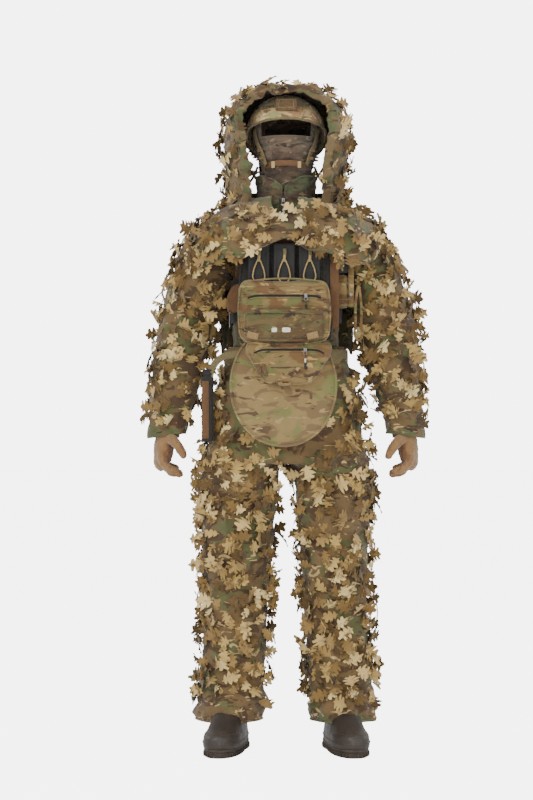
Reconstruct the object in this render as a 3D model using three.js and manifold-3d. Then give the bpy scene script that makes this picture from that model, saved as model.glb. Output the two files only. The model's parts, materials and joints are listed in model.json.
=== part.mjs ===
// A worn ghillie suit with its field kit: a leaf-covered hood, cape, sleeves and trousers over a
// helmet, balaclava, plate rig with pouches, gloves and boots. Nobody is inside it: every garment
// is hollow. Millimetres, +Z up, the front faces -Y and the wearer's right is -X. The origin is on
// the floor, under the middle of the suit.
import * as THREE from "three";
import { mergeVertices } from "three/addons/utils/BufferGeometryUtils.js";
import Module from "manifold-3d";

const wasm = await Module();
wasm.setup();

// ---- Driving dimensions ---------------------------------------------------------------------
const SEAT_GAP = 0.4; // between two pieces that rest on each other
const RUN_GAP = 0.15; // between the ball of a joint and its socket, on the flats
const SWEEP_GAP = 2.5; // round the room that a bending limb sweeps
const SIDES = 14; // round a garment tube
const BALL_SIDES = 24; // round the ball of a joint
const HOLLOW_SIDES = 12; // round the hollow inside such a ball
const BODY_Y = 30; // the middle of the torso, front to back

const THIN_WALL = 5; // shirt and knitwear
const LEAF_WALL = 12; // cloth with its leaf strips pressed flat

const SHOULDER = { x: 196, z: 1440, ball: 76, armhole: 46 };
const UPPER_ARM = { length: 290, radius: 77, tilt: 17.5 }; // the tilt is in degrees from plumb
const LIFT = 50; // degrees that the sleeve lifts sideways
const FOREARM = { length: 285, radius: 66, ball: 68, tilt: 10 };
const ELBOW_BEND = 70;
const CUFF_RADIUS = 52;
const GLOVE_ROOM = { x: 28, y: 34 }; // half the hollow of a glove's palm

const WAIST = { x: 158, y: 104, z: 1118 };
const CROTCH_Z = 800;
const KNEE = { x: 135, z: 505, radius: 95, ball: 80 };
const KNEE_BEND = 60;
const HEM = { x: 158, z: 72, radius: 86 };
const BELT = { bottom: 1066, height: 42, thick: 7 };
const BUCKLE = { width: 62, height: 50, thick: 8 };

const BOOT = { x: 154, toeOut: 12, halfWidth: 50, halfLength: 140, top: 205 };
const SOLE = { thick: 28, margin: 4 };

const NECK_RADIUS = 76;
const HEAD_Y = BODY_Y - 12;
const COLLAR = { bottom: 1496, top: 1584, zipX: 8 };
const EYES = { width: 140, bottom: 1702, top: 1748 };
const HELMET = { x: 114, y: 134, z: 120, middle: 1694, wall: 8, brow: 1746, nape: 1642 };
const LINER_HEIGHT = 30;

const CAPE = { halfWidth: 210, halfDepth: 180, top: 1524, hemMiddle: 1424, hemSlope: 0.36, hemBack: 1345 };
const CAPE_BACK_BOTTOM = 1098;
const THROAT_BOTTOM = 1456; // of the slit at the front of the cape's neck
const HOOD = { halfWidth: 170, top: 1832, hem: 1486 };
const FACE = { halfWidth: 132, top: 1796, brim: 13, brimThick: 5 };
const NECK_SLOT = { x: 100, width: 44, bottom: 1552, height: 128 };

const RIG_X = -6; // the pouches sit a little to the wearer's right
const CHEST = { x: 152, y: 112 };
const PLATE = { width: 250, bottom: 1130, height: 290, thick: 30, backThick: 18, corner: 62 };
const BAND = { bottom: 1180, height: 120, thick: 6 };
const RIG_STRAP = { x: 103, width: 30, thick: 4 };
const MAGAZINE = { width: 58, depth: 15, height: 190, bottom: 1203, pitch: 69 };
const SLOT_GAP = 0.6;
const PANEL = { width: 236, bottom: 1150, top: 1286, thick: 27 };
const LOOP = { width: 20, height: 66, band: 5, thick: 3 };
const POUCH = { width: 246, bottom: 1121, height: 170, thick: 40, round: 34, wall: 4 };
const ZIP = { width: 190, z: 1248, mouth: 7 };
const SLIDER = { width: 10, height: 13, thick: 6, pull: 34 };
const POCKET = { width: 214, bottom: 1132, height: 76, thick: 18 };
const DANGLER = { x: 6, wide: 232, narrow: 128, height: 112, thick: 40 };
const FLAP = { x: -8, halfWidth: 142, tip: 842, thick: 12 };

const RETENTION_STRAP = { x: 131, width: 24, bottom: 1161, top: 1366, thick: 3 };
const TOURNIQUET = { right: 169, bottom: 1219, top: 1312, front: -90, thick: 44 };
const SNAP_STRAP = { width: 15, top: 1350, thick: 4 };
const HANGING_STRAP = { width: 25, top: 1284, bottom: 1127, thick: 3 };
const CLIP = { x: -155, y: -62, z: 1212.4, rod: 2.2, hole: 4, gate: 1.8 };
const GATE = { y: CLIP.y - 11, bottom: 1174.9, top: 1201.8, pivot: 1176.5 };
const SHEATH = { x: -216, y: -64, width: 32, depth: 20, bottom: 853, top: 1030, wall: 3 };
const TOOL = { width: 25, depth: 12, proud: 22 };
const CORD_RADIUS = 1.5;

// ---- Materials ------------------------------------------------------------------------------
const cloth = (color, roughness = 0.9) =>
  new THREE.MeshStandardMaterial({ color, roughness, metalness: 0 });
const leafCloth = cloth(0x8c7b55);
const camoCloth = cloth(0x7d7354);
const darkCloth = cloth(0x1d2024);
const maskKnit = cloth(0x5d5444);
const tanWebbing = cloth(0xa07448, 0.8);
const suede = cloth(0x86664a, 0.85);
const leather = cloth(0x3a302c, 0.6);
const rubber = cloth(0x1f1b19, 0.75);
const polymer = cloth(0x24262a, 0.55);
const elastic = cloth(0x2c2a20, 0.8);
const steel = new THREE.MeshStandardMaterial({ color: 0xb9babb, roughness: 0.35, metalness: 1 });

// ---- Solids ---------------------------------------------------------------------------------
const rad = THREE.MathUtils.degToRad;

// A closed three.js geometry as a manifold-3d solid.
function solid(geometry) {
  const bare = (geometry.index ? geometry.toNonIndexed() : geometry.clone())
    .deleteAttribute("normal")
    .deleteAttribute("uv");
  const merged = mergeVertices(bare, 1e-3);
  return new wasm.Manifold(
    new wasm.Mesh({
      numProp: 3,
      vertProperties: merged.attributes.position.array,
      triVerts: new Uint32Array(merged.index.array),
    }),
  );
}

// A manifold-3d solid as a three.js geometry.
function geometryOf(shape) {
  const { triVerts, vertProperties, numProp } = shape.getMesh();
  const flat = new Float32Array(triVerts.length * 3);
  triVerts.forEach((vertex, i) => {
    for (let k = 0; k < 3; k++) flat[3 * i + k] = vertProperties[vertex * numProp + k];
  });
  const geometry = new THREE.BufferGeometry();
  geometry.setAttribute("position", new THREE.BufferAttribute(flat, 3));
  geometry.computeVertexNormals();
  return geometry;
}

const join = (...shapes) => shapes.flat().reduce((sum, next) => sum.add(next));
const box = ([w, d, h], [x, y, z]) => solid(new THREE.BoxGeometry(w, d, h).translate(x, y, z));

// The biggest body of a cut, without the crumbs that a cut can leave.
const largest = (shape) => shape.decompose().sort((a, b) => b.volume() - a.volume())[0];

// A shape made for the wearer's left, or its mirror image.
const onSide = (shape, sign) => (sign < 0 ? shape.mirror([1, 0, 0]) : shape);

// One ring of a loft: its height, half width, half depth and centre.
const ring = (z, rx, ry = rx, cx = 0, cy = BODY_Y) => ({ z, rx, ry, cx, cy });

// A closed solid through rings, from low to high. grow moves its whole surface out by that much,
// and square above 2 makes the rings boxier.
function loft(rings, { grow = 0, sides = SIDES, square = 2 } = {}) {
  const last = rings.length - 1;
  const geometry = new THREE.CylinderGeometry(1, 1, last, sides, last).rotateX(Math.PI / 2);
  const at = geometry.attributes.position;
  const bent = (v) => Math.sign(v) * Math.abs(v) ** (2 / square);
  for (let i = 0; i < at.count; i++) {
    const row = Math.round(at.getZ(i) + last / 2);
    const { z, rx, ry, cx, cy } = rings[row];
    const x = cx + (rx + grow) * bent(at.getX(i));
    const y = cy + (ry + grow) * bent(at.getY(i));
    at.setXYZ(i, x, y, z + (row === last) * grow - (row === 0) * grow);
  }
  return solid(geometry);
}

// The rings of a loft's hollow, a wall in from its surface. It runs out past each open end.
function hollowRings(rings, wall, { openTop = true, openBottom = true } = {}) {
  const last = rings.length - 1;
  return rings.map((r, i) => {
    let z = r.z;
    if (i === 0) z += openBottom ? -1 : wall;
    if (i === last) z += openTop ? 1 : -wall;
    return { ...r, z, rx: Math.max(r.rx - wall, 2), ry: Math.max(r.ry - wall, 2) };
  });
}

function tube(rings, wall, { openTop, openBottom, ...shape } = {}) {
  const inside = loft(hollowRings(rings, wall, { openTop, openBottom }), shape);
  return loft(rings, shape).subtract(inside);
}

// A ball with its poles on a joint's axis, and the socket that it turns in.
function ball(radius, axis, sides = BALL_SIDES) {
  const geometry = new THREE.SphereGeometry(radius, sides, 8);
  if (axis === "x") geometry.rotateZ(Math.PI / 2);
  return solid(geometry);
}
const socket = (radius, axis) =>
  ball((radius + RUN_GAP) / Math.cos(Math.PI / BALL_SIDES), axis);

// A plate: an outline in x and z, from yFront back by thick.
function plate(outline, yFront, thick, curveSegments = 5) {
  const options = { depth: thick, bevelEnabled: false, curveSegments };
  const geometry = new THREE.ExtrudeGeometry(outline, options);
  return solid(geometry.rotateX(Math.PI / 2).translate(0, yFront + thick, 0));
}

// A rectangle with round corners, in x and z.
function rounded(cx, bottom, width, height, r) {
  const [left, right, top] = [cx - width / 2, cx + width / 2, bottom + height];
  const outline = new THREE.Shape();
  outline.absarc(right - r, bottom + r, r, -Math.PI / 2, 0);
  outline.absarc(right - r, top - r, r, 0, Math.PI / 2);
  outline.absarc(left + r, top - r, r, Math.PI / 2, Math.PI);
  outline.absarc(left + r, bottom + r, r, Math.PI, 1.5 * Math.PI);
  return outline;
}

const polygon = (points) => new THREE.Shape(points.map(([x, z]) => new THREE.Vector2(x, z)));

// A round rod or cord along points.
function rod(points, radius, steps, sides = 8) {
  const corner = (_, i) => {
    const turn = (2 * Math.PI * i) / sides;
    return new THREE.Vector2(radius * Math.cos(turn), radius * Math.sin(turn));
  };
  const section = new THREE.Shape(Array.from({ length: sides }, corner));
  const path = new THREE.CatmullRomCurve3(points.map((p) => new THREE.Vector3(...p)));
  const options = { steps, extrudePath: path, bevelEnabled: false };
  return solid(new THREE.ExtrudeGeometry(section, options));
}

// ---- The scene graph ------------------------------------------------------------------------
const suit = new THREE.Group();

function add(name, shape, material) {
  const mesh = new THREE.Mesh(geometryOf(shape), material);
  mesh.name = name;
  suit.add(mesh);
}

const SIDES_OF_BODY = { right: -1, left: 1 };
function addPair(name, shape, material) {
  for (const [side, sign] of Object.entries(SIDES_OF_BODY)) {
    add(`${name}_${side}`, onSide(shape, sign), material);
  }
}

// ---- Arms -----------------------------------------------------------------------------------
const shoulder = [SHOULDER.x, BODY_Y, SHOULDER.z];
const along = (from, length, tilt) => [
  from[0] + length * Math.sin(rad(tilt)),
  from[1],
  from[2] - length * Math.cos(rad(tilt)),
];
const elbow = along(shoulder, UPPER_ARM.length, UPPER_ARM.tilt);
const wrist = along(elbow, FOREARM.length, FOREARM.tilt);

// A shape that hangs plumb from the origin, tilted out and hung from a point.
const hang = (shape, tilt, from) => shape.rotate([0, -tilt, 0]).translate(from);
const limb = (z, r) => ring(z, r, r, 0, 0);

const upperArmRings = [
  limb(-UPPER_ARM.length, UPPER_ARM.radius + 2),
  limb(-UPPER_ARM.length * 0.6, UPPER_ARM.radius),
  limb(-UPPER_ARM.length * 0.25, UPPER_ARM.radius - 1),
  limb(-SHOULDER.ball * 0.25, SHOULDER.ball - 3),
];
const forearmRings = [
  limb(-FOREARM.length, CUFF_RADIUS),
  limb(-FOREARM.length * 0.72, FOREARM.radius - 5),
  limb(-FOREARM.length * 0.35, FOREARM.radius),
  limb(-FOREARM.ball * 0.25, FOREARM.radius - 1),
];

// The room that the left sleeve sweeps as it lifts, with nothing at the ball itself.
function sleeveSweep(steps = 4) {
  const turns = Array.from({ length: steps + 1 }, (_, i) => (LIFT * i) / steps);
  const sleeve = loft(upperArmRings, { grow: SWEEP_GAP });
  return join(turns.map((turn) => hang(sleeve, UPPER_ARM.tilt + turn, shoulder)));
}
const leftSweep = sleeveSweep();
const leftSocket = socket(SHOULDER.ball, "y").translate(shoulder);
const armRoom = join(
  Object.values(SIDES_OF_BODY).flatMap((sign) => [
    onSide(leftSweep, sign),
    onSide(leftSocket, sign),
  ]),
);

// The room that a limb sweeps as it bends about X at a joint.
function bendSweep(limbShape, joint, bend, steps = 3) {
  const back = limbShape.translate(joint.map((v) => -v));
  const turns = Array.from({ length: steps + 1 }, (_, i) => (bend * i) / steps);
  return join(turns.map((turn) => back.rotate([turn, 0, 0]).translate(joint)));
}

function upperSleeve() {
  const inner = SHOULDER.ball - LEAF_WALL;
  const hole = new THREE.CylinderGeometry(SHOULDER.armhole, SHOULDER.armhole, 100, SIDES);
  const outside = hang(loft(upperArmRings), UPPER_ARM.tilt, shoulder);
  const inside = hang(
    loft(hollowRings(upperArmRings, LEAF_WALL, { openTop: false })),
    UPPER_ARM.tilt,
    shoulder,
  );
  const forearm = hang(loft(forearmRings, { grow: SWEEP_GAP }), FOREARM.tilt, elbow);
  return largest(
    outside
      .add(ball(SHOULDER.ball, "y").translate(shoulder))
      .subtract(inside)
      .subtract(ball(inner, "y", HOLLOW_SIDES).translate(shoulder))
      .subtract(solid(hole.rotateZ(Math.PI / 2)).translate([shoulder[0] - 50, ...shoulder.slice(1)]))
      .subtract(socket(FOREARM.ball, "x").translate(elbow))
      .subtract(bendSweep(forearm, elbow, -ELBOW_BEND)),
  );
}

function forearmSleeve() {
  const head = 60;
  const mouth = new THREE.CylinderGeometry(head - LEAF_WALL, head - LEAF_WALL, 100, SIDES);
  return largest(
    hang(loft(forearmRings), FOREARM.tilt, elbow)
      .add(ball(FOREARM.ball, "x").translate(elbow))
      .subtract(hang(loft(hollowRings(forearmRings, LEAF_WALL)), FOREARM.tilt, elbow))
      .subtract(ball(FOREARM.ball - LEAF_WALL, "x", HOLLOW_SIDES).translate(elbow))
      .subtract(solid(mouth.rotateX(Math.PI / 2)).translate([elbow[0], elbow[1], elbow[2] + 50])),
  );
}

// A loosely curled glove that hangs from the wrist, its thumb to the front.
function glove() {
  const cuff = CUFF_RADIUS - LEAF_WALL - SEAT_GAP;
  const palmRings = [
    ring(-88, GLOVE_ROOM.x - 1, GLOVE_ROOM.y + 7, 0, 0),
    ring(-50, GLOVE_ROOM.x + 3, GLOVE_ROOM.y + 9, 0, 0),
    ring(-18, GLOVE_ROOM.x + 5, GLOVE_ROOM.y + 1, 0, 0),
    ring(3, cuff, cuff, 0, 0),
    ring(34, cuff, cuff, 0, 0),
  ];
  const knuckles = [-31, -10.5, 10, 30];
  const fingers = knuckles.map((y, i) => {
    const reach = [0, 8, 5, -6][i];
    return rod(
      [
        [6, y, -76],
        [4, y * 0.96, -98 - reach * 0.5],
        [-10, y * 0.9, -117 - reach],
        [-28, y * 0.86, -112 - reach],
      ],
      11,
      4,
      6,
    );
  });
  const thumb = rod(
    [
      [-4, -30, -34],
      [-16, -44, -56],
      [-28, -44, -80],
      [-32, -40, -96],
    ],
    11,
    4,
    6,
  );
  const shape = loft(palmRings)
    .add(join(fingers, thumb))
    .subtract(loft(hollowRings(palmRings, 4, { openBottom: false })));
  return hang(largest(shape), FOREARM.tilt, wrist);
}

addPair("upper_sleeve", upperSleeve(), leafCloth);
addPair("forearm_sleeve", forearmSleeve(), leafCloth);
addPair("glove", glove(), suede);

// ---- Legs -----------------------------------------------------------------------------------
const knee = [KNEE.x, BODY_Y, KNEE.z];
const seatRings = [
  ring(CROTCH_Z, 205, 114),
  ring(900, 210, 120),
  ring(1000, 194, 118),
  ring(1060, 174, 111),
  ring(WAIST.z, WAIST.x, WAIST.y),
];
const thighRings = [
  ring(KNEE.z, KNEE.radius, KNEE.radius - 2, KNEE.x),
  ring(610, KNEE.radius + 5, KNEE.radius + 3, KNEE.x - 1),
  ring(720, KNEE.radius + 13, KNEE.radius + 10, KNEE.x - 4),
  ring(CROTCH_Z, KNEE.radius + 17, KNEE.radius + 15, KNEE.x - 9),
  ring(890, 94, 100, 108),
];
const shinRings = [
  ring(HEM.z, HEM.radius, HEM.radius - 2, HEM.x),
  ring(130, HEM.radius, HEM.radius, HEM.x - 4),
  ring(280, 87, 86, 143),
  ring(410, 83, 83, 137),
  ring(KNEE.z - KNEE.ball * 0.25, KNEE.ball - 2, KNEE.ball - 2, KNEE.x),
];

function trousers() {
  const legs = (rings) => {
    const left = loft(rings);
    return join(Object.values(SIDES_OF_BODY).map((sign) => onSide(left, sign)));
  };
  const bend = bendSweep(loft(shinRings, { grow: SWEEP_GAP }), knee, KNEE_BEND);
  const kneeRoom = bend.add(socket(KNEE.ball, "x").translate(knee));
  return largest(
    loft(seatRings)
      .add(legs(thighRings))
      .subtract(loft(hollowRings(seatRings, LEAF_WALL, { openBottom: false })))
      .subtract(legs(hollowRings(thighRings, LEAF_WALL)))
      .subtract(join(Object.values(SIDES_OF_BODY).map((sign) => onSide(kneeRoom, sign)))),
  );
}

// A boot's rings, before its toe is turned out.
const bootRing = (z, rx, ry, cy) => ring(z, rx, ry, 0, cy);
const bootRings = [
  bootRing(SOLE.thick + SEAT_GAP, BOOT.halfWidth, BOOT.halfLength, -35),
  bootRing(56, BOOT.halfWidth, BOOT.halfLength - 3, -34),
  bootRing(78, BOOT.halfWidth - 4, BOOT.halfLength - 22, -18),
  bootRing(105, BOOT.halfWidth - 6, 88, 10),
  bootRing(140, BOOT.halfWidth - 2, 66, 28),
  bootRing(BOOT.top, BOOT.halfWidth + 6, 62, 30),
];
const soleRings = [
  bootRing(0, BOOT.halfWidth + SOLE.margin - 3, BOOT.halfLength + SOLE.margin - 3, -35),
  bootRing(SOLE.thick * 0.5, BOOT.halfWidth + SOLE.margin, BOOT.halfLength + SOLE.margin, -35),
  bootRing(SOLE.thick, BOOT.halfWidth + SOLE.margin, BOOT.halfLength + SOLE.margin, -35),
];
const BOOT_SQUARE = 2.5;
const stand = (shape) => shape.rotate([0, 0, BOOT.toeOut]).translate([BOOT.x, 0, 0]);

function bootUpper() {
  return stand(tube(bootRings, THIN_WALL, { openBottom: false, square: BOOT_SQUARE }));
}

function shin() {
  const boot = stand(loft(bootRings, { grow: SEAT_GAP, square: BOOT_SQUARE }));
  const mouth = new THREE.CylinderGeometry(KNEE.ball - 22, KNEE.ball - 22, 120, SIDES);
  return largest(
    loft(shinRings)
      .add(ball(KNEE.ball, "x").translate(knee))
      .subtract(loft(hollowRings(shinRings, LEAF_WALL)))
      .subtract(ball(KNEE.ball - LEAF_WALL, "x", HOLLOW_SIDES).translate(knee))
      .subtract(solid(mouth.rotateX(Math.PI / 2)).translate([knee[0], knee[1], knee[2] + 60]))
      .subtract(boot),
  );
}

function belt() {
  const slab = box([600, 600, BELT.height], [0, 0, BELT.bottom + BELT.height / 2]);
  return loft(seatRings, { grow: BELT.thick + SEAT_GAP })
    .subtract(loft(seatRings, { grow: SEAT_GAP }))
    .intersect(slab);
}

function beltBuckle() {
  const outline = rounded(0, BELT.bottom + (BELT.height - BUCKLE.height) / 2, BUCKLE.width,
    BUCKLE.height, 8);
  return largest(
    plate(outline, BODY_Y - WAIST.y - 34, 60).subtract(
      loft(seatRings, { grow: BELT.thick + 2 * SEAT_GAP }),
    ),
  ).intersect(plate(outline, BODY_Y - WAIST.y - 26, 60));
}

add("trousers", trousers(), leafCloth);
add("belt", belt(), camoCloth);
add("belt_buckle", beltBuckle(), polymer);
addPair("shin", shin(), leafCloth);
addPair("boot_upper", bootUpper(), leather);
addPair("boot_sole", stand(loft(soleRings, { square: BOOT_SQUARE })), rubber);

// ---- Shirt, collar and head -----------------------------------------------------------------
const shirtRings = [
  ring(WAIST.z + SEAT_GAP, WAIST.x - 5, WAIST.y - 5),
  ring(1200, CHEST.x - 2, CHEST.y - 3),
  ring(1330, CHEST.x, CHEST.y),
  ring(1400, CHEST.x, CHEST.y - 4),
  ring(1448, 138, 92),
  ring(1482, 98, 78),
  ring(COLLAR.bottom - SEAT_GAP, NECK_RADIUS + 9, NECK_RADIUS - 2),
];
const SHIRT_SQUARE = 2.3;
const NECK_Y = HEAD_Y + 8;

const headRings = [
  ring(COLLAR.bottom + 6, NECK_RADIUS, NECK_RADIUS - 3, 0, NECK_Y),
  ring(1535, 66, 68, 0, HEAD_Y + 6),
  ring(1575, 64, 72, 0, HEAD_Y),
  ring(1606, 68, 88, 0, HEAD_Y - 10),
  ring(1645, 80, 98, 0, HEAD_Y - 6),
  ring(1700, 87, 104, 0, HEAD_Y),
  ring(1750, 84, 100, 0, HEAD_Y + 2),
  ring(1780, 62, 76, 0, HEAD_Y + 2),
  ring(1796, 28, 34, 0, HEAD_Y + 2),
];
const head = (grow) => loft(headRings, { grow });

const COLLAR_FIT = THIN_WALL + SEAT_GAP;
const collarRings = [
  ring(COLLAR.bottom, NECK_RADIUS + COLLAR_FIT, NECK_RADIUS - 3 + COLLAR_FIT, 0, NECK_Y),
  ring(1540, NECK_RADIUS + 7, NECK_RADIUS + 10.2, 0, HEAD_Y + 4),
  ring(COLLAR.top, NECK_RADIUS + 10, NECK_RADIUS + 16, 0, HEAD_Y - 2),
];

function collar() {
  const opening = polygon([
    [-26, COLLAR.top + 20],
    [-9, COLLAR.bottom + 34],
    [-7, COLLAR.bottom + 34],
    [20, COLLAR.top + 20],
  ]);
  return largest(tube(collarRings, THIN_WALL).subtract(plate(opening, HEAD_Y - 130, 100)));
}

// A slider of a zip with its pull hanging below, its back on the plane y.
function zipSlider(x, z, y) {
  const body = box([SLIDER.width, SLIDER.thick, SLIDER.height], [x, y - SLIDER.thick / 2, z]);
  const pull = rounded(x, z - SLIDER.pull, 6, SLIDER.pull, 2.5);
  return body.add(plate(pull, y - SLIDER.thick + 1, 2.5, 2));
}

// How far the collar's front leans, for its zip's slider.
const [collarLow, collarMiddle] = collarRings;
const collarFront = (r) => r.cy - r.ry;
const collarLean = THREE.MathUtils.radToDeg(
  Math.atan2(collarFront(collarLow) - collarFront(collarMiddle), collarMiddle.z - collarLow.z),
);
function collarZipSlider() {
  const z = COLLAR.bottom + 20;
  const part = (z - collarLow.z) / (collarMiddle.z - collarLow.z);
  const y = THREE.MathUtils.lerp(collarFront(collarLow), collarFront(collarMiddle), part);
  const facetSag = Math.tan(Math.PI / SIDES) * (COLLAR.zipX - SLIDER.width / 2);
  return zipSlider(0, 0, 0)
    .rotate([collarLean, 0, 0])
    .translate([-COLLAR.zipX, y + facetSag - SEAT_GAP, z]);
}

function balaclava() {
  const eyes = rounded(0, EYES.bottom, EYES.width, EYES.top - EYES.bottom, 14);
  return tube(headRings, THIN_WALL, { openTop: false }).subtract(
    plate(eyes, HEAD_Y - 140, 110),
  );
}

function helmetDome(grow) {
  const dome = new THREE.SphereGeometry(1, 20, 12).rotateX(Math.PI / 2);
  dome.scale(HELMET.x + grow, HELMET.y + grow, HELMET.z + grow);
  return solid(dome).translate([0, HEAD_Y, HELMET.middle]);
}

// All that lies below the helmet's rim, a plane from the brow down to the nape, lowered by drop.
function belowRim(drop) {
  const fall = THREE.MathUtils.radToDeg(Math.atan2(HELMET.brow - HELMET.nape, 2 * HELMET.y));
  return box([500, 500, 300], [0, 0, -150])
    .rotate([-fall, 0, 0])
    .translate([0, HEAD_Y, (HELMET.brow + HELMET.nape) / 2 - drop]);
}

function helmetShell() {
  return helmetDome(0).subtract(helmetDome(-HELMET.wall)).subtract(belowRim(0));
}

function helmetLiner() {
  return largest(
    helmetDome(-HELMET.wall - SEAT_GAP)
      .subtract(belowRim(0))
      .intersect(belowRim(-LINER_HEIGHT))
      .subtract(head(SEAT_GAP)),
  );
}

function helmetMount() {
  const outline = polygon([
    [-24, 1760],
    [24, 1760],
    [30, 1776],
    [18, 1792],
    [-18, 1792],
    [-30, 1776],
  ]);
  return largest(
    plate(outline, HEAD_Y - HELMET.y + 14, 60).subtract(helmetDome(SEAT_GAP)),
  );
}

// A band that hugs the balaclava, within a cutter.
const headBand = (thick, cutter) =>
  largest(head(thick + SEAT_GAP).subtract(head(SEAT_GAP)).intersect(cutter));

const CHIN_Z = 1616;
function chinStrap() {
  const strip = box([400, 14, 400], [0, 0, 0])
    .rotate([-28, 0, 0])
    .translate([0, HEAD_Y - 57, 1662]);
  const side = box([200, 400, 200], [100, HEAD_Y, CHIN_Z + SEAT_GAP + 100]);
  return headBand(3, strip.intersect(side).subtract(above(belowRim(SEAT_GAP))));
}

// The rest of the world outside a half space.
function above(halfSpace) {
  return box([480, 480, 600], [0, HEAD_Y, 1600]).subtract(halfSpace);
}

add("shirt", largest(tube(shirtRings, THIN_WALL, { square: SHIRT_SQUARE }).subtract(armRoom)),
  camoCloth);
add("collar", collar(), camoCloth);
add("collar_zip_slider", collarZipSlider(), steel);
add("balaclava", balaclava(), maskKnit);
add("helmet_shell", helmetShell(), camoCloth);
add("helmet_liner", helmetLiner(), darkCloth);
add("helmet_mount", helmetMount(), polymer);
addPair("chin_strap", chinStrap(), darkCloth);
add("chin_cup", headBand(4, box([150, 90, 16], [0, HEAD_Y - 90, CHIN_Z - 8])), tanWebbing);

// ---- Cape and hood --------------------------------------------------------------------------
const CAPE_SQUARE = 3.4;
const yokeRings = [
  ring(1320, CAPE.halfWidth - 2, CAPE.halfDepth, 0, BODY_Y - 8),
  ring(1390, CAPE.halfWidth + 2, CAPE.halfDepth, 0, BODY_Y - 8),
  ring(1445, CAPE.halfWidth, CAPE.halfDepth - 2, 0, BODY_Y - 6),
  ring(1490, CAPE.halfWidth - 34, 142, 0, BODY_Y - 4),
  ring(1512, CAPE.halfWidth - 74, 116, 0, BODY_Y - 4),
  ring(CAPE.top, CAPE.halfWidth - 104, 100, 0, BODY_Y - 4),
];

function yoke() {
  const drop = CAPE.hemSlope * 300;
  const hem = polygon([
    [-300, 1200],
    [300, 1200],
    [300, CAPE.hemMiddle - drop],
    [0, CAPE.hemMiddle],
    [-300, CAPE.hemMiddle - drop],
  ]);
  const throat = polygon([
    [-36, CAPE.top + 20],
    [-12, THROAT_BOTTOM],
    [-4, THROAT_BOTTOM],
    [20, CAPE.top + 20],
  ]);
  const lowCollar = [{ ...collarLow, z: 1440 }, ...collarRings.slice(1)];
  return largest(
    tube(yokeRings, LEAF_WALL, { openTop: false, square: CAPE_SQUARE })
      .subtract(plate(hem, -400, 400 + BODY_Y))
      .subtract(plate(throat, -400, 380 + BODY_Y))
      .subtract(box([700, 400, 400], [0, BODY_Y + 200, CAPE.hemBack - 200]))
      .subtract(loft(lowCollar, { grow: SEAT_GAP }))
      .subtract(armRoom),
  );
}

function capeBack() {
  const top = CAPE.hemBack - SEAT_GAP;
  const rings = [
    ring(CAPE_BACK_BOTTOM, 184, CAPE.halfDepth - 10, 0, BODY_Y - 4),
    ring(1220, 192, CAPE.halfDepth - 4, 0, BODY_Y - 6),
    ring(top, CAPE.halfWidth - 2, CAPE.halfDepth, 0, BODY_Y - 8),
  ];
  return largest(
    tube(rings, LEAF_WALL, { square: CAPE_SQUARE })
      .intersect(box([360, 200, 600], [0, BODY_Y + 150, 1250]))
      .subtract(armRoom),
  );
}

const HOOD_SQUARE = 2.2;
const hoodRings = [
  ring(1470, HOOD.halfWidth - 16, 132, 0, BODY_Y + 16),
  ring(1528, HOOD.halfWidth - 12, 134, 0, BODY_Y + 12),
  ring(1600, HOOD.halfWidth - 4, 144, 0, BODY_Y + 2),
  ring(1700, HOOD.halfWidth, 158, 0, BODY_Y - 6),
  ring(1760, HOOD.halfWidth - 16, 160, 0, BODY_Y - 12),
  ring(1800, HOOD.halfWidth - 44, 144, 0, BODY_Y - 18),
  ring(1822, HOOD.halfWidth - 86, 104, 0, BODY_Y - 18),
  ring(HOOD.top, 40, 50, 0, BODY_Y - 18),
];

// The open front of the hood, in x and z, let out by grow.
function faceOutline(grow) {
  const half = FACE.halfWidth + grow;
  const top = FACE.top + grow;
  const outline = new THREE.Shape();
  outline.moveTo(-half + 8, 1400);
  outline.lineTo(half - 8, 1400);
  outline.lineTo(half, 1690);
  outline.bezierCurveTo(half, 1760, half * 0.58, top, 0, top);
  outline.bezierCurveTo(-half * 0.58, top, -half, 1760, -half, 1690);
  return outline;
}
const faceCut = (grow) => plate(faceOutline(grow), -400, 400 + BODY_Y - 30, 6);

function hood() {
  const slot = rounded(NECK_SLOT.x, NECK_SLOT.bottom, NECK_SLOT.width, NECK_SLOT.height, 18);
  const slotCut = plate(slot, BODY_Y + 20, 260, 3);
  return largest(
    tube(hoodRings, LEAF_WALL, { openTop: false, square: HOOD_SQUARE })
      .subtract(faceCut(0))
      .subtract(join(Object.values(SIDES_OF_BODY).map((sign) => onSide(slotCut, sign))))
      .subtract(box([600, 600, 200], [0, BODY_Y, HOOD.hem - 100]))
      .subtract(loft(yokeRings, { grow: SEAT_GAP, square: CAPE_SQUARE }))
      .subtract(armRoom),
  );
}

// The stiff binding inside the hood's mouth.
function hoodBrim() {
  const options = { openTop: false };
  const outside = loft(hollowRings(hoodRings, LEAF_WALL + SEAT_GAP, options), {
    square: HOOD_SQUARE,
  });
  const inside = loft(hollowRings(hoodRings, LEAF_WALL + SEAT_GAP + FACE.brimThick, options), {
    square: HOOD_SQUARE,
  });
  return largest(
    outside
      .subtract(inside)
      .intersect(faceCut(FACE.brim))
      .subtract(faceCut(2))
      .intersect(box([600, 600, 400], [0, 0, 1620 + 200])),
  );
}

add("cape_yoke", yoke(), leafCloth);
add("cape_back", capeBack(), leafCloth);
add("hood", hood(), leafCloth);
add("hood_brim", hoodBrim(), camoCloth);

// ---- Plate rig ------------------------------------------------------------------------------
// The fronts of the layers on the chest, each on the one behind it.
const PLATE_FRONT = BODY_Y - CHEST.y - SEAT_GAP - PLATE.thick;
const PANEL_FRONT = PLATE_FRONT - SEAT_GAP - PANEL.thick;
const POUCH_FRONT = PANEL_FRONT - SEAT_GAP - POUCH.thick;
const POCKET_FRONT = POUCH_FRONT - SEAT_GAP - POCKET.thick;

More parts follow.
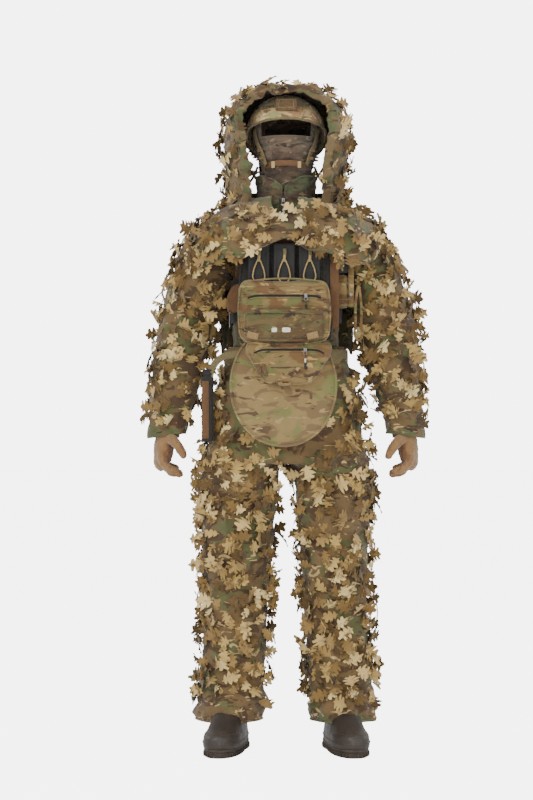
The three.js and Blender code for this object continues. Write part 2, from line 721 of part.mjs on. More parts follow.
function plateOutline(grow = 0) {
  const half = PLATE.width / 2 + grow;
  const low = PLATE.bottom - grow;
  const high = PLATE.bottom + PLATE.height + grow;
  return polygon([
    [-half + 14, low],
    [half - 14, low],
    [half, low + 14],
    [half, high - PLATE.corner],
    [half - PLATE.corner * 0.7, high],
    [-half + PLATE.corner * 0.7, high],
    [-half, high - PLATE.corner],
    [-half, low + 14],
  ]);
}
const PLATE_BACK_FRONT = BODY_Y + CHEST.y + SEAT_GAP;
const plates = (grow) =>
  [
    [PLATE_FRONT, PLATE.thick],
    [PLATE_BACK_FRONT, PLATE.backThick],
  ].map(([y, thick]) => plate(plateOutline(grow), y - grow, thick + 2 * grow));

const shirtSolid = (grow) => loft(shirtRings, { grow, square: SHIRT_SQUARE });
const bandSolid = (grow) => shirtSolid(BAND.thick + 2 * SEAT_GAP + grow);

function cummerbund() {
  const half = box([300, 600, BAND.height], [150 + 60, BODY_Y, BAND.bottom + BAND.height / 2]);
  return largest(
    bandSolid(0).subtract(shirtSolid(2 * SEAT_GAP)).intersect(half).subtract(join(plates(SEAT_GAP))),
  );
}

// A strap over the shoulder, from the top of one plate bag to the other's.
function rigStrap() {
  const inner = new THREE.Vector2(CHEST.y + 6, PLATE.bottom + PLATE.height - PLATE.corner * 0.45);
  const top = 1494;
  const profile = (out) => [
    new THREE.Vector2(inner.x + out, inner.y),
    new THREE.Vector2(inner.x - 6 + out, 1440 + out * 0.4),
    new THREE.Vector2(76 + out * 0.7, 1478 + out * 0.7),
    new THREE.Vector2(34, top - 2 + out),
  ];
  const mirror = (points) => points.map((p) => new THREE.Vector2(-p.x, p.y)).reverse();
  const over = (out) => [...profile(out), ...mirror(profile(out))];
  const outline = new THREE.Shape([...over(RIG_STRAP.thick), ...over(0).reverse()]);
  const geometry = new THREE.ExtrudeGeometry(outline, {
    depth: RIG_STRAP.width,
    bevelEnabled: false,
  });
  geometry.rotateX(Math.PI / 2).rotateZ(Math.PI / 2);
  geometry.translate(RIG_STRAP.x - RIG_STRAP.width / 2, BODY_Y, 0);
  return largest(
    solid(geometry).subtract(shirtSolid(SEAT_GAP)).subtract(join(plates(SEAT_GAP))),
  );
}

const magazineX = (i) => RIG_X + (i - 1) * MAGAZINE.pitch;
const magazineFront = PANEL_FRONT + PANEL.thick - MAGAZINE.depth - 5;

function magazinePanel() {
  const outline = rounded(RIG_X, PANEL.bottom, PANEL.width, PANEL.top - PANEL.bottom, 8);
  const floor = MAGAZINE.bottom - SEAT_GAP;
  const slots = [0, 1, 2].map((i) =>
    box(
      [MAGAZINE.width + 2 * SLOT_GAP, MAGAZINE.depth + 2 * SLOT_GAP, 200],
      [magazineX(i), magazineFront + MAGAZINE.depth / 2, floor + 100],
    ),
  );
  return plate(outline, PANEL_FRONT, PANEL.thick).subtract(join(slots));
}

function magazine(i) {
  const { bottom, width, height, depth } = MAGAZINE;
  return plate(rounded(magazineX(i), bottom, width, height, 5), magazineFront, depth, 2);
}

function bungeeLoop(i) {
  const bottom = PANEL.top + SEAT_GAP;
  const outline = rounded(magazineX(i), bottom, LOOP.width, LOOP.height, 6);
  const eye = rounded(
    magazineX(i),
    bottom + LOOP.band,
    LOOP.width - 2 * LOOP.band,
    LOOP.height - 4 * LOOP.band,
    3,
  );
  outline.holes.push(eye);
  return plate(outline, PANEL_FRONT + 1, LOOP.thick, 3);
}

function mainPouch() {
  const { width, bottom, height, thick, round, wall } = POUCH;
  const inside = rounded(RIG_X, bottom + wall, width - 2 * wall, height - 2 * wall, round - wall);
  const mouth = box([ZIP.width, 30, ZIP.mouth], [RIG_X, POUCH_FRONT, ZIP.z]);
  return plate(rounded(RIG_X, bottom, width, height, round), POUCH_FRONT, thick)
    .subtract(plate(inside, POUCH_FRONT + wall, thick - 2 * wall))
    .subtract(mouth);
}

function frontPocket() {
  const { width, bottom, height, thick } = POCKET;
  const wall = POUCH.wall;
  const inside = rounded(RIG_X, bottom + wall, width - 2 * wall, height + 20, 10);
  return plate(rounded(RIG_X, bottom, width, height, 14), POCKET_FRONT, thick).subtract(
    plate(inside, POCKET_FRONT + wall, thick - 2 * wall),
  );
}

const DANGLER_TOP = POUCH.bottom - SEAT_GAP;
const DANGLER_BACK = POUCH_FRONT + DANGLER.thick;
function danglerOutline(inset) {
  const slope = (DANGLER.wide - DANGLER.narrow) / 2 / DANGLER.height;
  const half = (down) => DANGLER.wide / 2 - down * slope - inset;
  const points = [
    [half(inset), DANGLER_TOP - inset],
    [half(DANGLER.height - 14), DANGLER_TOP - DANGLER.height + 14],
    [half(DANGLER.height) - 14, DANGLER_TOP - DANGLER.height + inset],
  ];
  const left = points.map(([x, z]) => [DANGLER.x - x, z]).reverse();
  return polygon([...points.map(([x, z]) => [DANGLER.x + x, z]), ...left].reverse());
}

function danglerPouch() {
  const wall = POUCH.wall;
  const mouth = [DANGLER.wide - 70, 30, ZIP.mouth];
  return plate(danglerOutline(0), POUCH_FRONT, DANGLER.thick)
    .subtract(plate(danglerOutline(wall), POUCH_FRONT + wall, DANGLER.thick - 2 * wall))
    .subtract(box(mouth, [DANGLER.x, POUCH_FRONT, DANGLER_TOP - 18]));
}

function groinFlap() {
  const { x, halfWidth, tip, thick } = FLAP;
  const outline = new THREE.Shape();
  outline.moveTo(x - halfWidth + 12, DANGLER_TOP - 3);
  outline.lineTo(x - halfWidth, 1012);
  outline.bezierCurveTo(x - halfWidth, 930, x - 70, tip, x - 16, tip);
  outline.bezierCurveTo(x + 40, tip, x + halfWidth, 930, x + halfWidth, 1012);
  outline.lineTo(x + halfWidth - 12, DANGLER_TOP - 3);
  return plate(outline, DANGLER_BACK + SEAT_GAP, thick, 8);
}

add("plate_bag_front", plates(0)[0], darkCloth);
add("plate_bag_back", plates(0)[1], darkCloth);
addPair("cummerbund", cummerbund(), darkCloth);
addPair("rig_strap", rigStrap(), darkCloth);
add("magazine_panel", magazinePanel(), darkCloth);
for (const i of [0, 1, 2]) {
  add(`magazine_${i + 1}`, magazine(i), polymer);
  add(`bungee_loop_${i + 1}`, bungeeLoop(i), tanWebbing);
}
add("main_pouch", mainPouch(), camoCloth);
add("main_pouch_zip_slider", zipSlider(RIG_X + 58, ZIP.z, POUCH_FRONT - SEAT_GAP), steel);
add("front_pocket", frontPocket(), camoCloth);
add("dangler_pouch", danglerPouch(), camoCloth);
add(
  "dangler_zip_slider",
  zipSlider(DANGLER.x + 44, DANGLER_TOP - 18, POUCH_FRONT - SEAT_GAP),
  steel,
);
add("groin_flap", groinFlap(), camoCloth);

// ---- Straps and small kit -------------------------------------------------------------------
function retentionStrap() {
  const { x, width, bottom, top, thick } = RETENTION_STRAP;
  const outline = rounded(x, bottom, width, top - bottom, 6);
  return plate(outline, PLATE_FRONT - SEAT_GAP - thick, thick, 3);
}

function tourniquetPouch() {
  const { right, bottom, top, front, thick } = TOURNIQUET;
  const width = 43;
  const outline = rounded(right - width / 2, bottom, width, top - bottom, 9);
  return largest(plate(outline, front, thick, 3).subtract(bandSolid(SEAT_GAP)));
}

const snapStrapX = TOURNIQUET.right + SEAT_GAP + SNAP_STRAP.width / 2;
function snapStrap() {
  const { width, top, thick } = SNAP_STRAP;
  const outline = rounded(snapStrapX, TOURNIQUET.bottom, width, top - TOURNIQUET.bottom, 4);
  return plate(outline, TOURNIQUET.front + 3, thick, 3);
}

// A loop of webbing that tapers to its lower end.
function hangingStrap() {
  const { width, top, bottom, thick } = HANGING_STRAP;
  const left = snapStrapX + SNAP_STRAP.width / 2 + SEAT_GAP;
  const band = 7;
  const outline = polygon([
    [left, top],
    [left + 4, bottom + 20],
    [left + 10, bottom],
    [left + width - 6, bottom + 4],
    [left + width, top],
  ]);
  outline.holes.push(
    polygon([
      [left + band, top - band],
      [left + width - band, top - band],
      [left + width - band - 1, bottom + 40],
      [left + band + 3, bottom + 40],
    ]),
  );
  return plate(outline, TOURNIQUET.front + 3, thick);
}

function carabinerTab() {
  const { x, y, z, rod: r, hole } = CLIP;
  const eyeZ = z + hole - r - 2.5 * SEAT_GAP;
  const outline = polygon([
    [x + 55, 1252],
    [x + 55, 1285],
    [x + 4, 1285],
    [x - 10, 1250],
    [x - 10, 1206],
    [x + 10, 1206],
    [x + 14, 1240],
  ]);
  const eye = new THREE.Path();
  eye.absarc(x, eyeZ, hole, 0, 2 * Math.PI);
  outline.holes.push(eye);
  return largest(plate(outline, y - 2, 4, 4).subtract(bandSolid(SEAT_GAP)));
}

function carabinerBody() {
  const { x, y, z, rod: r } = CLIP;
  const back = y + 11;
  const points = [
    [x, GATE.y, GATE.bottom - 1.4],
    [x, y - 8, z - 45],
    [x, y, z - 48],
    [x, y + 8, z - 44],
    [x, back, z - 32],
    [x, back, z - 14],
    [x, y + 8, z - 4],
    [x, y, z],
    [x, y - 8, z - 3],
    [x, GATE.y, GATE.top + 0.8],
  ];
  return rod(points, r, 18, 6);
}

function carabinerGate() {
  const height = GATE.top - GATE.bottom;
  const geometry = new THREE.CylinderGeometry(CLIP.gate, CLIP.gate, height, 8);
  geometry.rotateX(Math.PI / 2).translate(CLIP.x, GATE.y, (GATE.top + GATE.bottom) / 2);
  return solid(geometry);
}

function sheath() {
  const { x, y, width, depth, bottom, top, wall } = SHEATH;
  const body = plate(rounded(x, bottom, width, top - bottom, 7), y, depth, 3);
  const room = [width - 2 * wall, depth - 2 * wall, top - bottom];
  const hanger = plate(
    polygon([
      [x - 8, top - 30],
      [x + 14, top - 30],
      [x + 60, top + 16],
      [x + 110, BELT.bottom + 4],
      [x + 110, BELT.bottom + BELT.height - 4],
      [x + 50, BELT.bottom + BELT.height - 8],
      [x - 8, top + 8],
    ]),
    y + depth - wall,
    wall,
  );
  return largest(
    body
      .subtract(box(room, [x, y + depth / 2, bottom + wall + room[2] / 2]))
      .add(hanger)
      .subtract(loft(seatRings, { grow: BELT.thick + 2 * SEAT_GAP })),
  );
}

function tool() {
  const { x, y, depth, bottom, top } = SHEATH;
  const low = bottom + SHEATH.wall + SEAT_GAP;
  const length = top - low + TOOL.proud;
  return plate(
    rounded(x, low, TOOL.width, length, 5),
    y + (depth - TOOL.depth) / 2,
    TOOL.depth,
    3,
  );
}

// An elastic keeper that bows out of the side of each leg, from one knot to the other.
const cordRoutes = {
  right: [
    [-203, BODY_Y - 26, 470],
    [-232, BODY_Y - 44, 456],
    [-243, BODY_Y - 50, 436],
    [-246, BODY_Y - 52, 416],
    [-240, BODY_Y - 48, 394],
    [-208, BODY_Y - 24, 370],
  ],
  left: [
    [203, BODY_Y - 26, 470],
    [232, BODY_Y - 44, 450],
    [246, BODY_Y - 52, 420],
    [252, BODY_Y - 54, 384],
    [246, BODY_Y - 48, 346],
    [212, BODY_Y - 24, 312],
  ],
};

add("retention_strap", retentionStrap(), tanWebbing);
add("tourniquet_pouch", tourniquetPouch(), camoCloth);
add("snap_strap", snapStrap(), camoCloth);
add("hanging_strap", hangingStrap(), camoCloth);
add("carabiner_tab", carabinerTab(), tanWebbing);
add("carabiner_body", carabinerBody(), steel);
add("carabiner_gate", carabinerGate(), steel);
add("sheath", sheath(), leather);
add("tool", tool(), polymer);
for (const [side, route] of Object.entries(cordRoutes)) {
  const leg = onSide(loft(shinRings, { grow: SEAT_GAP }), SIDES_OF_BODY[side]);
  add(`leaf_cord_${side}`, largest(rod(route, CORD_RADIUS, 16).subtract(leg)), elastic);
}

export default suit;
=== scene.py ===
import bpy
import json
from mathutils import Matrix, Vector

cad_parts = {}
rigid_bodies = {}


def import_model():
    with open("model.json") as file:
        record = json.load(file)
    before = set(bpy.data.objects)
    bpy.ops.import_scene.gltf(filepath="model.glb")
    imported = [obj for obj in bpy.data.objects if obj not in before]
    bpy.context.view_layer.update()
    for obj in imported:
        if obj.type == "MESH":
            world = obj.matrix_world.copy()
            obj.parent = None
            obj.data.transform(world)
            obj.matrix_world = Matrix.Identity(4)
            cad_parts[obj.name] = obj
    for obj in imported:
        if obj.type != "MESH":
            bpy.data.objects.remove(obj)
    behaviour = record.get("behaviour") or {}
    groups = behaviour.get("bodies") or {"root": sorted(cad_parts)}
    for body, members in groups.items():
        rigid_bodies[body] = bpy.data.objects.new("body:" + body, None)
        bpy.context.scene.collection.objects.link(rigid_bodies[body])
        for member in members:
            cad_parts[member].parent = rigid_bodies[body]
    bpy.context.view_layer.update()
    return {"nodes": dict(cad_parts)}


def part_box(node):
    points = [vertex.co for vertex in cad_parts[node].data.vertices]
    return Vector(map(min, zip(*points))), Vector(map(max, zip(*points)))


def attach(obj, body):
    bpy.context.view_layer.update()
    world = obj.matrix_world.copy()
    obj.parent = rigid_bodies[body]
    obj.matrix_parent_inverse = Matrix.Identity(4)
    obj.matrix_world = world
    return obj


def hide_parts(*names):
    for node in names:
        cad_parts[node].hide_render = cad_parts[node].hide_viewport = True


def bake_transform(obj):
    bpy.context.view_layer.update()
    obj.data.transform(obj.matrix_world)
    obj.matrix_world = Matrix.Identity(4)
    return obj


bl_info = {
    "name": "Leaf suit and field gear",
    "version": (1, 0, 0),
    "blender": (4, 5, 0),
    "location": "3D View > Sidebar > Leaf suit",
    "description": "Leaf-covered suit with its hood, helmet, mask, rig, pouches, gloves and boots",
    "category": "Add Mesh",
}

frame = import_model()

import json
import math

import bmesh
import bpy
import numpy as np
from mathutils import Vector, noise

MM = 0.001
SIDES = (("right", -1), ("left", 1))
BODY_Y = 0.030
FRONT = (0.0, -1.0, 0.0)


# ---------------------------------------------------------------- meshes


def mm(*values):
    """Millimetres to metres, as one row of numbers."""
    return np.array(values, float) * MM


def new_object(name, points, faces, material=None, edges=()):
    mesh = bpy.data.meshes.new(name)
    mesh.from_pydata([tuple(map(float, p)) for p in points], list(edges), list(faces))
    obj = bpy.data.objects.new(name, mesh)
    bpy.context.scene.collection.objects.link(obj)
    if material:
        mesh.materials.append(bpy.data.materials[material])
    for face in mesh.polygons:
        face.use_smooth = True
    return obj


def finished(obj):
    """Leaves obj as one plain mesh, with every modifier applied."""
    graph = bpy.context.evaluated_depsgraph_get()
    mesh = bpy.data.meshes.new_from_object(
        obj.evaluated_get(graph), preserve_all_data_layers=True, depsgraph=graph
    )
    mesh.name = obj.name
    obj.modifiers.clear()
    obj.data = mesh
    return obj


def modify(obj, kind, **settings):
    made = obj.modifiers.new(kind.lower(), kind)
    for key, value in settings.items():
        setattr(made, key, value)
    return obj


def join(name, parts):
    """One object from several that have the same materials in any order."""
    points, faces, slots, materials = [], [], [], []
    for part in parts:
        start = len(points)
        points += [v.co.copy() for v in part.data.vertices]
        own = [m.name for m in part.data.materials]
        for m in own:
            if m not in materials:
                materials.append(m)
        for face in part.data.polygons:
            faces.append([start + i for i in face.vertices])
            slots.append(materials.index(own[face.material_index]) if own else 0)
        bpy.data.objects.remove(part)
    obj = new_object(name, points, faces)
    for m in materials:
        obj.data.materials.append(bpy.data.materials[m])
    obj.data.polygons.foreach_set("material_index", slots)
    return obj


def weld(obj, gap=0.0002, outwards=False):
    work = bmesh.new()
    work.from_mesh(obj.data)
    bmesh.ops.remove_doubles(work, verts=work.verts, dist=gap)
    if outwards:
        bmesh.ops.recalc_face_normals(work, faces=work.faces)
    work.to_mesh(obj.data)
    work.free()
    for face in obj.data.polygons:
        face.use_smooth = True
    return obj


def crisp(obj, degrees=35):
    """Keeps edges sharper than this angle crisp in shading."""
    work = bmesh.new()
    work.from_mesh(obj.data)
    for edge in work.edges:
        if len(edge.link_faces) == 2 and edge.calc_face_angle() > math.radians(degrees):
            edge.smooth = False
    work.to_mesh(obj.data)
    work.free()
    return obj


def points_of(obj):
    co = np.empty(len(obj.data.vertices) * 3)
    obj.data.vertices.foreach_get("co", co)
    return co.reshape(-1, 3)


def set_points(obj, points):
    obj.data.vertices.foreach_set("co", np.asarray(points, float).ravel())
    obj.data.update()
    return obj


def normals_of(obj):
    out = np.empty(len(obj.data.vertices) * 3)
    obj.data.vertex_normals.foreach_get("vector", out)
    return out.reshape(-1, 3)


def place(obj, body, slot, *nodes, bend=None):
    """obj rides on a body, or, when bend is given, has its transform baked in and rides on none; slot is not used.
    """
    if bend:
        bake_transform(obj)
    else:
        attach(obj, body)
    if nodes:
        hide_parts(*nodes)
    return obj


# ---------------------------------------------------------------- paths and sections


def unit(v):
    v = np.asarray(v, float)
    return v / np.maximum(np.linalg.norm(v, axis=-1, keepdims=True), 1e-9)


def through(knots, values, at):
    """A smooth curve through values at rising knots, read at each number in at."""
    knots, values = np.asarray(knots, float), np.asarray(values, float)
    at = np.clip(np.asarray(at, float), knots[0], knots[-1])
    slopes = np.gradient(values, knots, axis=0)
    i = np.clip(np.searchsorted(knots, at) - 1, 0, len(knots) - 2)
    width = (knots[i + 1] - knots[i])[:, None]
    s = (at - knots[i])[:, None] / width
    return (
        (2 * s**3 - 3 * s**2 + 1) * values[i]
        + (s**3 - 2 * s**2 + s) * width * slopes[i]
        + (3 * s**2 - 2 * s**3) * values[i + 1]
        + (s**3 - s**2) * width * slopes[i + 1]
    )


def path(points, step, closed=False):
    """Points in metres, a step apart, on a smooth line through the given ones."""
    points = np.asarray(points, float)
    if closed:
        points = np.vstack([points[-2:], points, points[:3]])
    gaps = np.linalg.norm(np.diff(points, axis=0), axis=1)
    along = np.concatenate([[0], np.cumsum(gaps)])
    lo, hi = (along[2], along[-3]) if closed else (0, along[-1])
    count = max(2, int(round((hi - lo) / step)) + 1)
    line = through(along, points, np.linspace(lo, hi, count))
    return line[:-1] if closed else line


def tangents(line, closed=False):
    if closed:
        return unit(np.roll(line, -1, 0) - np.roll(line, 1, 0))
    return unit(np.gradient(line, axis=0))


def sweep(name, line, across, up, section, material, closed=False):
    """A closed section, turning from across to up, carried along a line."""
    line, count = np.asarray(line), len(section)
    rows = [[p + a * v[0] + u * v[1] for v in section] for p, a, u in zip(line, across, up)]
    points = [q for row in rows for q in row]
    n = len(rows)
    faces = [
        (
            i * count + j,
            i * count + (j + 1) % count,
            ((i + 1) % n) * count + (j + 1) % count,
            ((i + 1) % n) * count + j,
        )
        for i in range(n if closed else n - 1)
        for j in range(count)
    ]
    if not closed:
        faces += [list(range(count))[::-1], [(n - 1) * count + j for j in range(count)]]
    return weld(new_object(name, points, faces, material), outwards=True)


def circle(radius, sides=8, squash=1.0):
    turn = np.arange(sides) * 2 * math.pi / sides
    return [(radius * math.cos(t), radius * squash * math.sin(t)) for t in turn]


def slab(width, thick, rise=0.2):
    """The section of a flat strap, a little fuller in the middle."""
    w, t = width / 2, thick / 2
    return [(-w, -t * 0.6), (-w * 0.9, -t), (0, -t * (1 + rise)), (w * 0.9, -t),
            (w, -t * 0.6), (w, t * 0.6), (w * 0.9, t), (0, t * (1 + rise)),
            (-w * 0.9, t), (-w, t * 0.6)]


def strap(name, points, facing, width, thick, material, step=0.006, closed=False):
    """A flat strap whose outer face looks along facing."""
    line = path(points, step, closed)
    way = tangents(line, closed)
    facing = np.asarray(facing, float)
    if facing.ndim > 1:
        knots = np.linspace(0, 1, len(facing))
        facing = through(knots, facing, np.linspace(0, 1, len(line)))
    across = unit(np.cross(way, np.broadcast_to(facing, line.shape)))
    up = unit(np.cross(across, way))
    return sweep(name, line, across, up, slab(width, thick), material, closed)


def tube(name, points, radius, material, step=0.005, sides=8, closed=False, squash=1.0):
    """A round cord, or a flattened one, along a smooth line."""
    line = path(points, step, closed)
    way = tangents(line, closed)
    hint = np.array([0.0, -1.0, 0.02]) if abs(way[0][1]) < 0.9 else np.array([1.0, 0, 0])
    across = []
    for w in way:
        hint = unit(hint - w * np.dot(hint, w))
        across.append(hint.copy())
    across = np.array(across)
    up = np.cross(way, across)
    return sweep(name, line, across, up, circle(radius, sides, squash), material, closed)


def superellipse(rx, ry, turn, square):
    c, s = np.cos(turn), np.sin(turn)
    return (
        rx * np.sign(c) * np.abs(c) ** (2 / square),
        ry * np.sign(s) * np.abs(s) ** (2 / square),
    )


def grid_normals(grid, closed):
    if closed:
        du = np.roll(grid, -1, 1) - np.roll(grid, 1, 1)
    else:
        du = np.gradient(grid, axis=1)
    return unit(np.cross(du, np.gradient(grid, axis=0)))


def grid_object(name, grid, material, closed=True, keep=None):
    rows, cols = grid.shape[:2]
    faces = []
    for i in range(rows - 1):
        for j in range(cols if closed else cols - 1):
            k = (j + 1) % cols
            if keep is None or keep((grid[i, j] + grid[i + 1, k]) / 2):
                faces.append((i * cols + j, i * cols + k, (i + 1) * cols + k, (i + 1) * cols + j))
    return new_object(name, grid.reshape(-1, 3), faces, material)


def loft_grid(rings, heights, turns, square):
    """Rings of (height, half width, half depth, middle x, middle y) as a grid of points."""
    rings = np.array(rings, float) * MM
    heights = np.asarray(heights, float)
    if heights.ndim == 1:
        heights = np.repeat(heights[:, None], len(turns), 1)
    flat = through(rings[:, 0], rings[:, 1:], heights.ravel())
    rx, ry, cx, cy = (flat[:, k].reshape(heights.shape) for k in range(4))
    x, y = superellipse(rx, ry, np.asarray(turns)[None, :], square)
    return np.stack([cx + x, cy + y, heights], -1)


# ---------------------------------------------------------------- cloth


def crumple(points, size, seed, stretch=(1, 1, 1), warp=0.8):
    """Soft bulges with sharper creases between them, about -0.5 to 1, at each point."""
    out = np.empty(len(points))
    scaled = np.asarray(points) / size * np.asarray(stretch) + seed * 7.3
    for k, p in enumerate(scaled):
        p = Vector(p)
        q = p + warp * noise.noise_vector(p * 0.6)
        out[k] = 1.6 * abs(noise.noise(q)) + 0.5 * noise.noise(q * 2.1) - 0.3
    return out


def fold_grid(grid, closed, *layers):
    """Moves a grid in and out along its normals by layers of (size, amount, seed, stretch)."""
    flat, across = grid.reshape(-1, 3), grid_normals(grid, closed).reshape(-1, 3)
    moved = flat.copy()
    for size, amount, seed, stretch in layers:
        share = amount(flat) if callable(amount) else amount
        moved += across * (crumple(flat, size, seed, stretch) * share)[:, None]
    return moved.reshape(grid.shape)


def fold_mesh(obj, *layers):
    flat, across = points_of(obj), normals_of(obj)
    moved = flat.copy()
    for size, amount, seed, stretch in layers:
        share = amount(flat) if callable(amount) else amount
        moved += across * (crumple(flat, size, seed, stretch) * share)[:, None]
    return set_points(obj, moved)


def wall(obj, thick):
    """Gives a surface its thickness, inwards."""
    return finished(modify(obj, "SOLIDIFY", thickness=thick, offset=-1.0, use_rim=True))


def cloth_thickness():
    return bpy.context.scene.suit_cloth.cloth_thickness


def near(value, middle, width):
    """1 at the middle, falling to 0 at width away."""
    return np.clip(1 - np.abs(np.asarray(value) - middle) / width, 0, 1)


def rise(value, low, high):
    s = np.clip((np.asarray(value) - low) / (high - low), 0, 1)
    return s * s * (3 - 2 * s)


def cushion(name, lo, hi, radius, material, step=0.007, crown=0.0, shape=None, outline=4.0):
    """A soft box: round edges, crowned faces, and shape(points) to finish its form."""
    lo, hi = np.asarray(lo, float), np.asarray(hi, float)
    middle, half = (lo + hi) / 2, (hi - lo) / 2
    counts = [max(2, int(round(2 * h / step))) for h in half]
    points, faces, seen = [], [], {}

    def corner(p):
        key = tuple(int(round(v * 4096)) for v in p)
        if key not in seen:
            seen[key] = len(points)
            points.append(p)
        return seen[key]

    for axis in range(3):
        u, v = (axis + 1) % 3, (axis + 2) % 3
        for side in (-1, 1):
            for a in range(counts[u]):
                for b in range(counts[v]):
                    quad = []
                    for da, db in ((0, 0), (1, 0), (1, 1), (0, 1)):
                        p = [0.0, 0.0, 0.0]
                        p[axis] = side
                        p[u] = -1 + 2 * (a + da) / counts[u]
                        p[v] = -1 + 2 * (b + db) / counts[v]
                        quad.append(corner(p))
                    faces.append(quad if side > 0 else quad[::-1])
    p = np.array(points) * half
    core = half - np.minimum(radius, half)
    inner = np.clip(p, -core, core)
    p = inner + unit(p - inner) * np.minimum(radius, half) * (
        np.linalg.norm(p - inner, axis=1, keepdims=True) > 1e-9
    )
    share = np.abs(np.array(points))
    swell = (1 - share[:, 0] ** outline) * (1 - share[:, 2] ** outline)
    p[:, 1] += np.sign(p[:, 1]) * crown * swell * (share[:, 1] > 0.6)
    p += middle
    if shape:
        p = shape(p)
    return new_object(name, p, faces, material)


def panel(name, outline, y_front, thick, material, step=0.007, belly=0.0, edge=0.002):
    """A sewn flat panel: outline in x and z, rounded edges, its front face a little full."""
    ring = path([(x, 0, z) for x, z in outline], step, closed=True)
    middle = ring.mean(0)
    n, layers = len(ring), (1.0, 0.97, 0.88, 0.74, 0.56, 0.36, 0.16)
    points, faces = [], []
    for back in (0, 1):
        for s in layers:
            pull = middle + (ring - middle) * s
            depth = edge * (1 - min(1, (1 - s) / 0.04)) if s > 0.95 else 0
            full = belly * (1 - s**3) if not back else 0
            y = y_front + thick - depth if back else y_front + depth - full
            points += [(q[0], y, q[2]) for q in pull]
        points.append((middle[0], y_front + (thick if back else -belly), middle[2]))
    span = n * len(layers) + 1
    for back in (0, 1):
        base = back * span
        for i in range(len(layers) - 1):
            for j in range(n):
                k = (j + 1) % n
                quad = (base + i * n + j, base + i * n + k,
                        base + (i + 1) * n + k, base + (i + 1) * n + j)
                faces.append(quad)
        last = base + (len(layers) - 1) * n
        faces += [(last + j, last + (j + 1) % n, base + span - 1) for j in range(n)]
    faces += [(j, (j + 1) % n, span + (j + 1) % n, span + j) for j in range(n)]
    return weld(new_object(name, points, faces, material), outwards=True)


def union(name, parts, voxel, material, smooth=4):
    """One skin over several overlapping closed parts."""
    obj = join(name, parts)
    modify(obj, "REMESH", mode="VOXEL", voxel_size=voxel, use_smooth_shade=True)
    modify(obj, "SMOOTH", factor=0.5, iterations=smooth)
    obj = finished(obj)
    obj.data.materials.clear()
    obj.data.materials.append(bpy.data.materials[material])
    for face in obj.data.polygons:
        face.use_smooth = True
        face.material_index = 0
    return obj


def cut(obj, at, normal):
    """Cuts off what lies beyond the plane, on the side its normal points to."""
    work = bmesh.new()
    work.from_mesh(obj.data)
    bmesh.ops.bisect_plane(
        work, geom=work.verts[:] + work.edges[:] + work.faces[:],
        plane_co=at, plane_no=normal, clear_outer=True,
    )
    work.to_mesh(obj.data)
    work.free()
    return obj


def copy_of(obj, name):
    other = obj.copy()
    other.data = obj.data.copy()
    other.name = name
    bpy.context.scene.collection.objects.link(other)
    return other


def blob(name, points, radii, material, sides=14, squash=(1, 1)):
    """A closed rounded tube through points with its own radius at each, for joining."""
    points = np.asarray(points, float)
    along = np.concatenate([[0], np.cumsum(np.linalg.norm(np.diff(points, axis=0), axis=1))])
    at = np.linspace(0, along[-1], max(4, int(along[-1] / 0.006)))
    line = through(along, points, at)
    radius = through(along, np.asarray(radii, float)[:, None], at)[:, 0]
    way = tangents(line)
    hint, rows = np.array([0.0, -1.0, 0.02]), []
    if abs(way[0][1]) > 0.9:
        hint = np.array([1.0, 0.0, 0.0])
    turn = np.arange(sides) * 2 * math.pi / sides
    caps = [(-1, 0.05), (-0.8, 0.6), (-0.4, 0.92)]
    for k, (p, w, r) in enumerate(zip(line, way, radius)):
        hint = unit(hint - w * np.dot(hint, w))
        other = np.cross(w, hint)
        spots = [(0, 1)]
        if k == 0:
            spots = caps + spots
        if k == len(line) - 1:
            spots = spots + [(-a, b) for a, b in caps[::-1]]
        for shift, size in spots:
            rows.append([p + w * r * shift + r * size * (
                hint * math.cos(t) * squash[0] + other * math.sin(t) * squash[1]) for t in turn])
    n = len(rows)
    faces = [(i * sides + j, i * sides + (j + 1) % sides,
              (i + 1) * sides + (j + 1) % sides, (i + 1) * sides + j)
             for i in range(n - 1) for j in range(sides)]
    faces += [list(range(sides))[::-1], [(n - 1) * sides + j for j in range(sides)]]
    flat = [q for row in rows for q in row]
    return weld(new_object(name, flat, faces, material), outwards=True)


# ---------------------------------------------------------------- finishes


RICHNESS = 1.22


def paint(code):
    """A colour written as in a paint chart, made richer and linear; a linear one stays."""
    if not isinstance(code, str):
        return tuple(code)
    parts = [int(code[k : k + 2], 16) / 255 for k in (1, 3, 5)]
    grey = sum(parts) / 3
    parts = [min(1.0, max(0.004, grey + (c - grey) * RICHNESS)) for c in parts]
    return tuple(((c + 0.055) / 1.055) ** 2.4 if c > 0.04045 else c / 12.92 for c in parts) + (1.0,)


def node(tree, kind, inputs=None, **settings):
    made = tree.nodes.new(kind)
    for key, value in settings.items():
        setattr(made, key, value)
    for key, value in (inputs or {}).items():
        if isinstance(value, bpy.types.NodeSocket):
            tree.links.new(value, made.inputs[key])
        else:
            made.inputs[key].default_value = value
    return made


def group(name, inputs, outputs):
    tree = bpy.data.node_groups.new(name, "ShaderNodeTree")
    for key, kind, value in inputs:
        socket = tree.interface.new_socket(name=key, in_out="INPUT", socket_type=kind)
        if value is not None:
            socket.default_value = value
    for key, kind in outputs:
        tree.interface.new_socket(name=key, in_out="OUTPUT", socket_type=kind)
    return tree, tree.nodes.new("NodeGroupInput").outputs, tree.nodes.new("NodeGroupOutput")


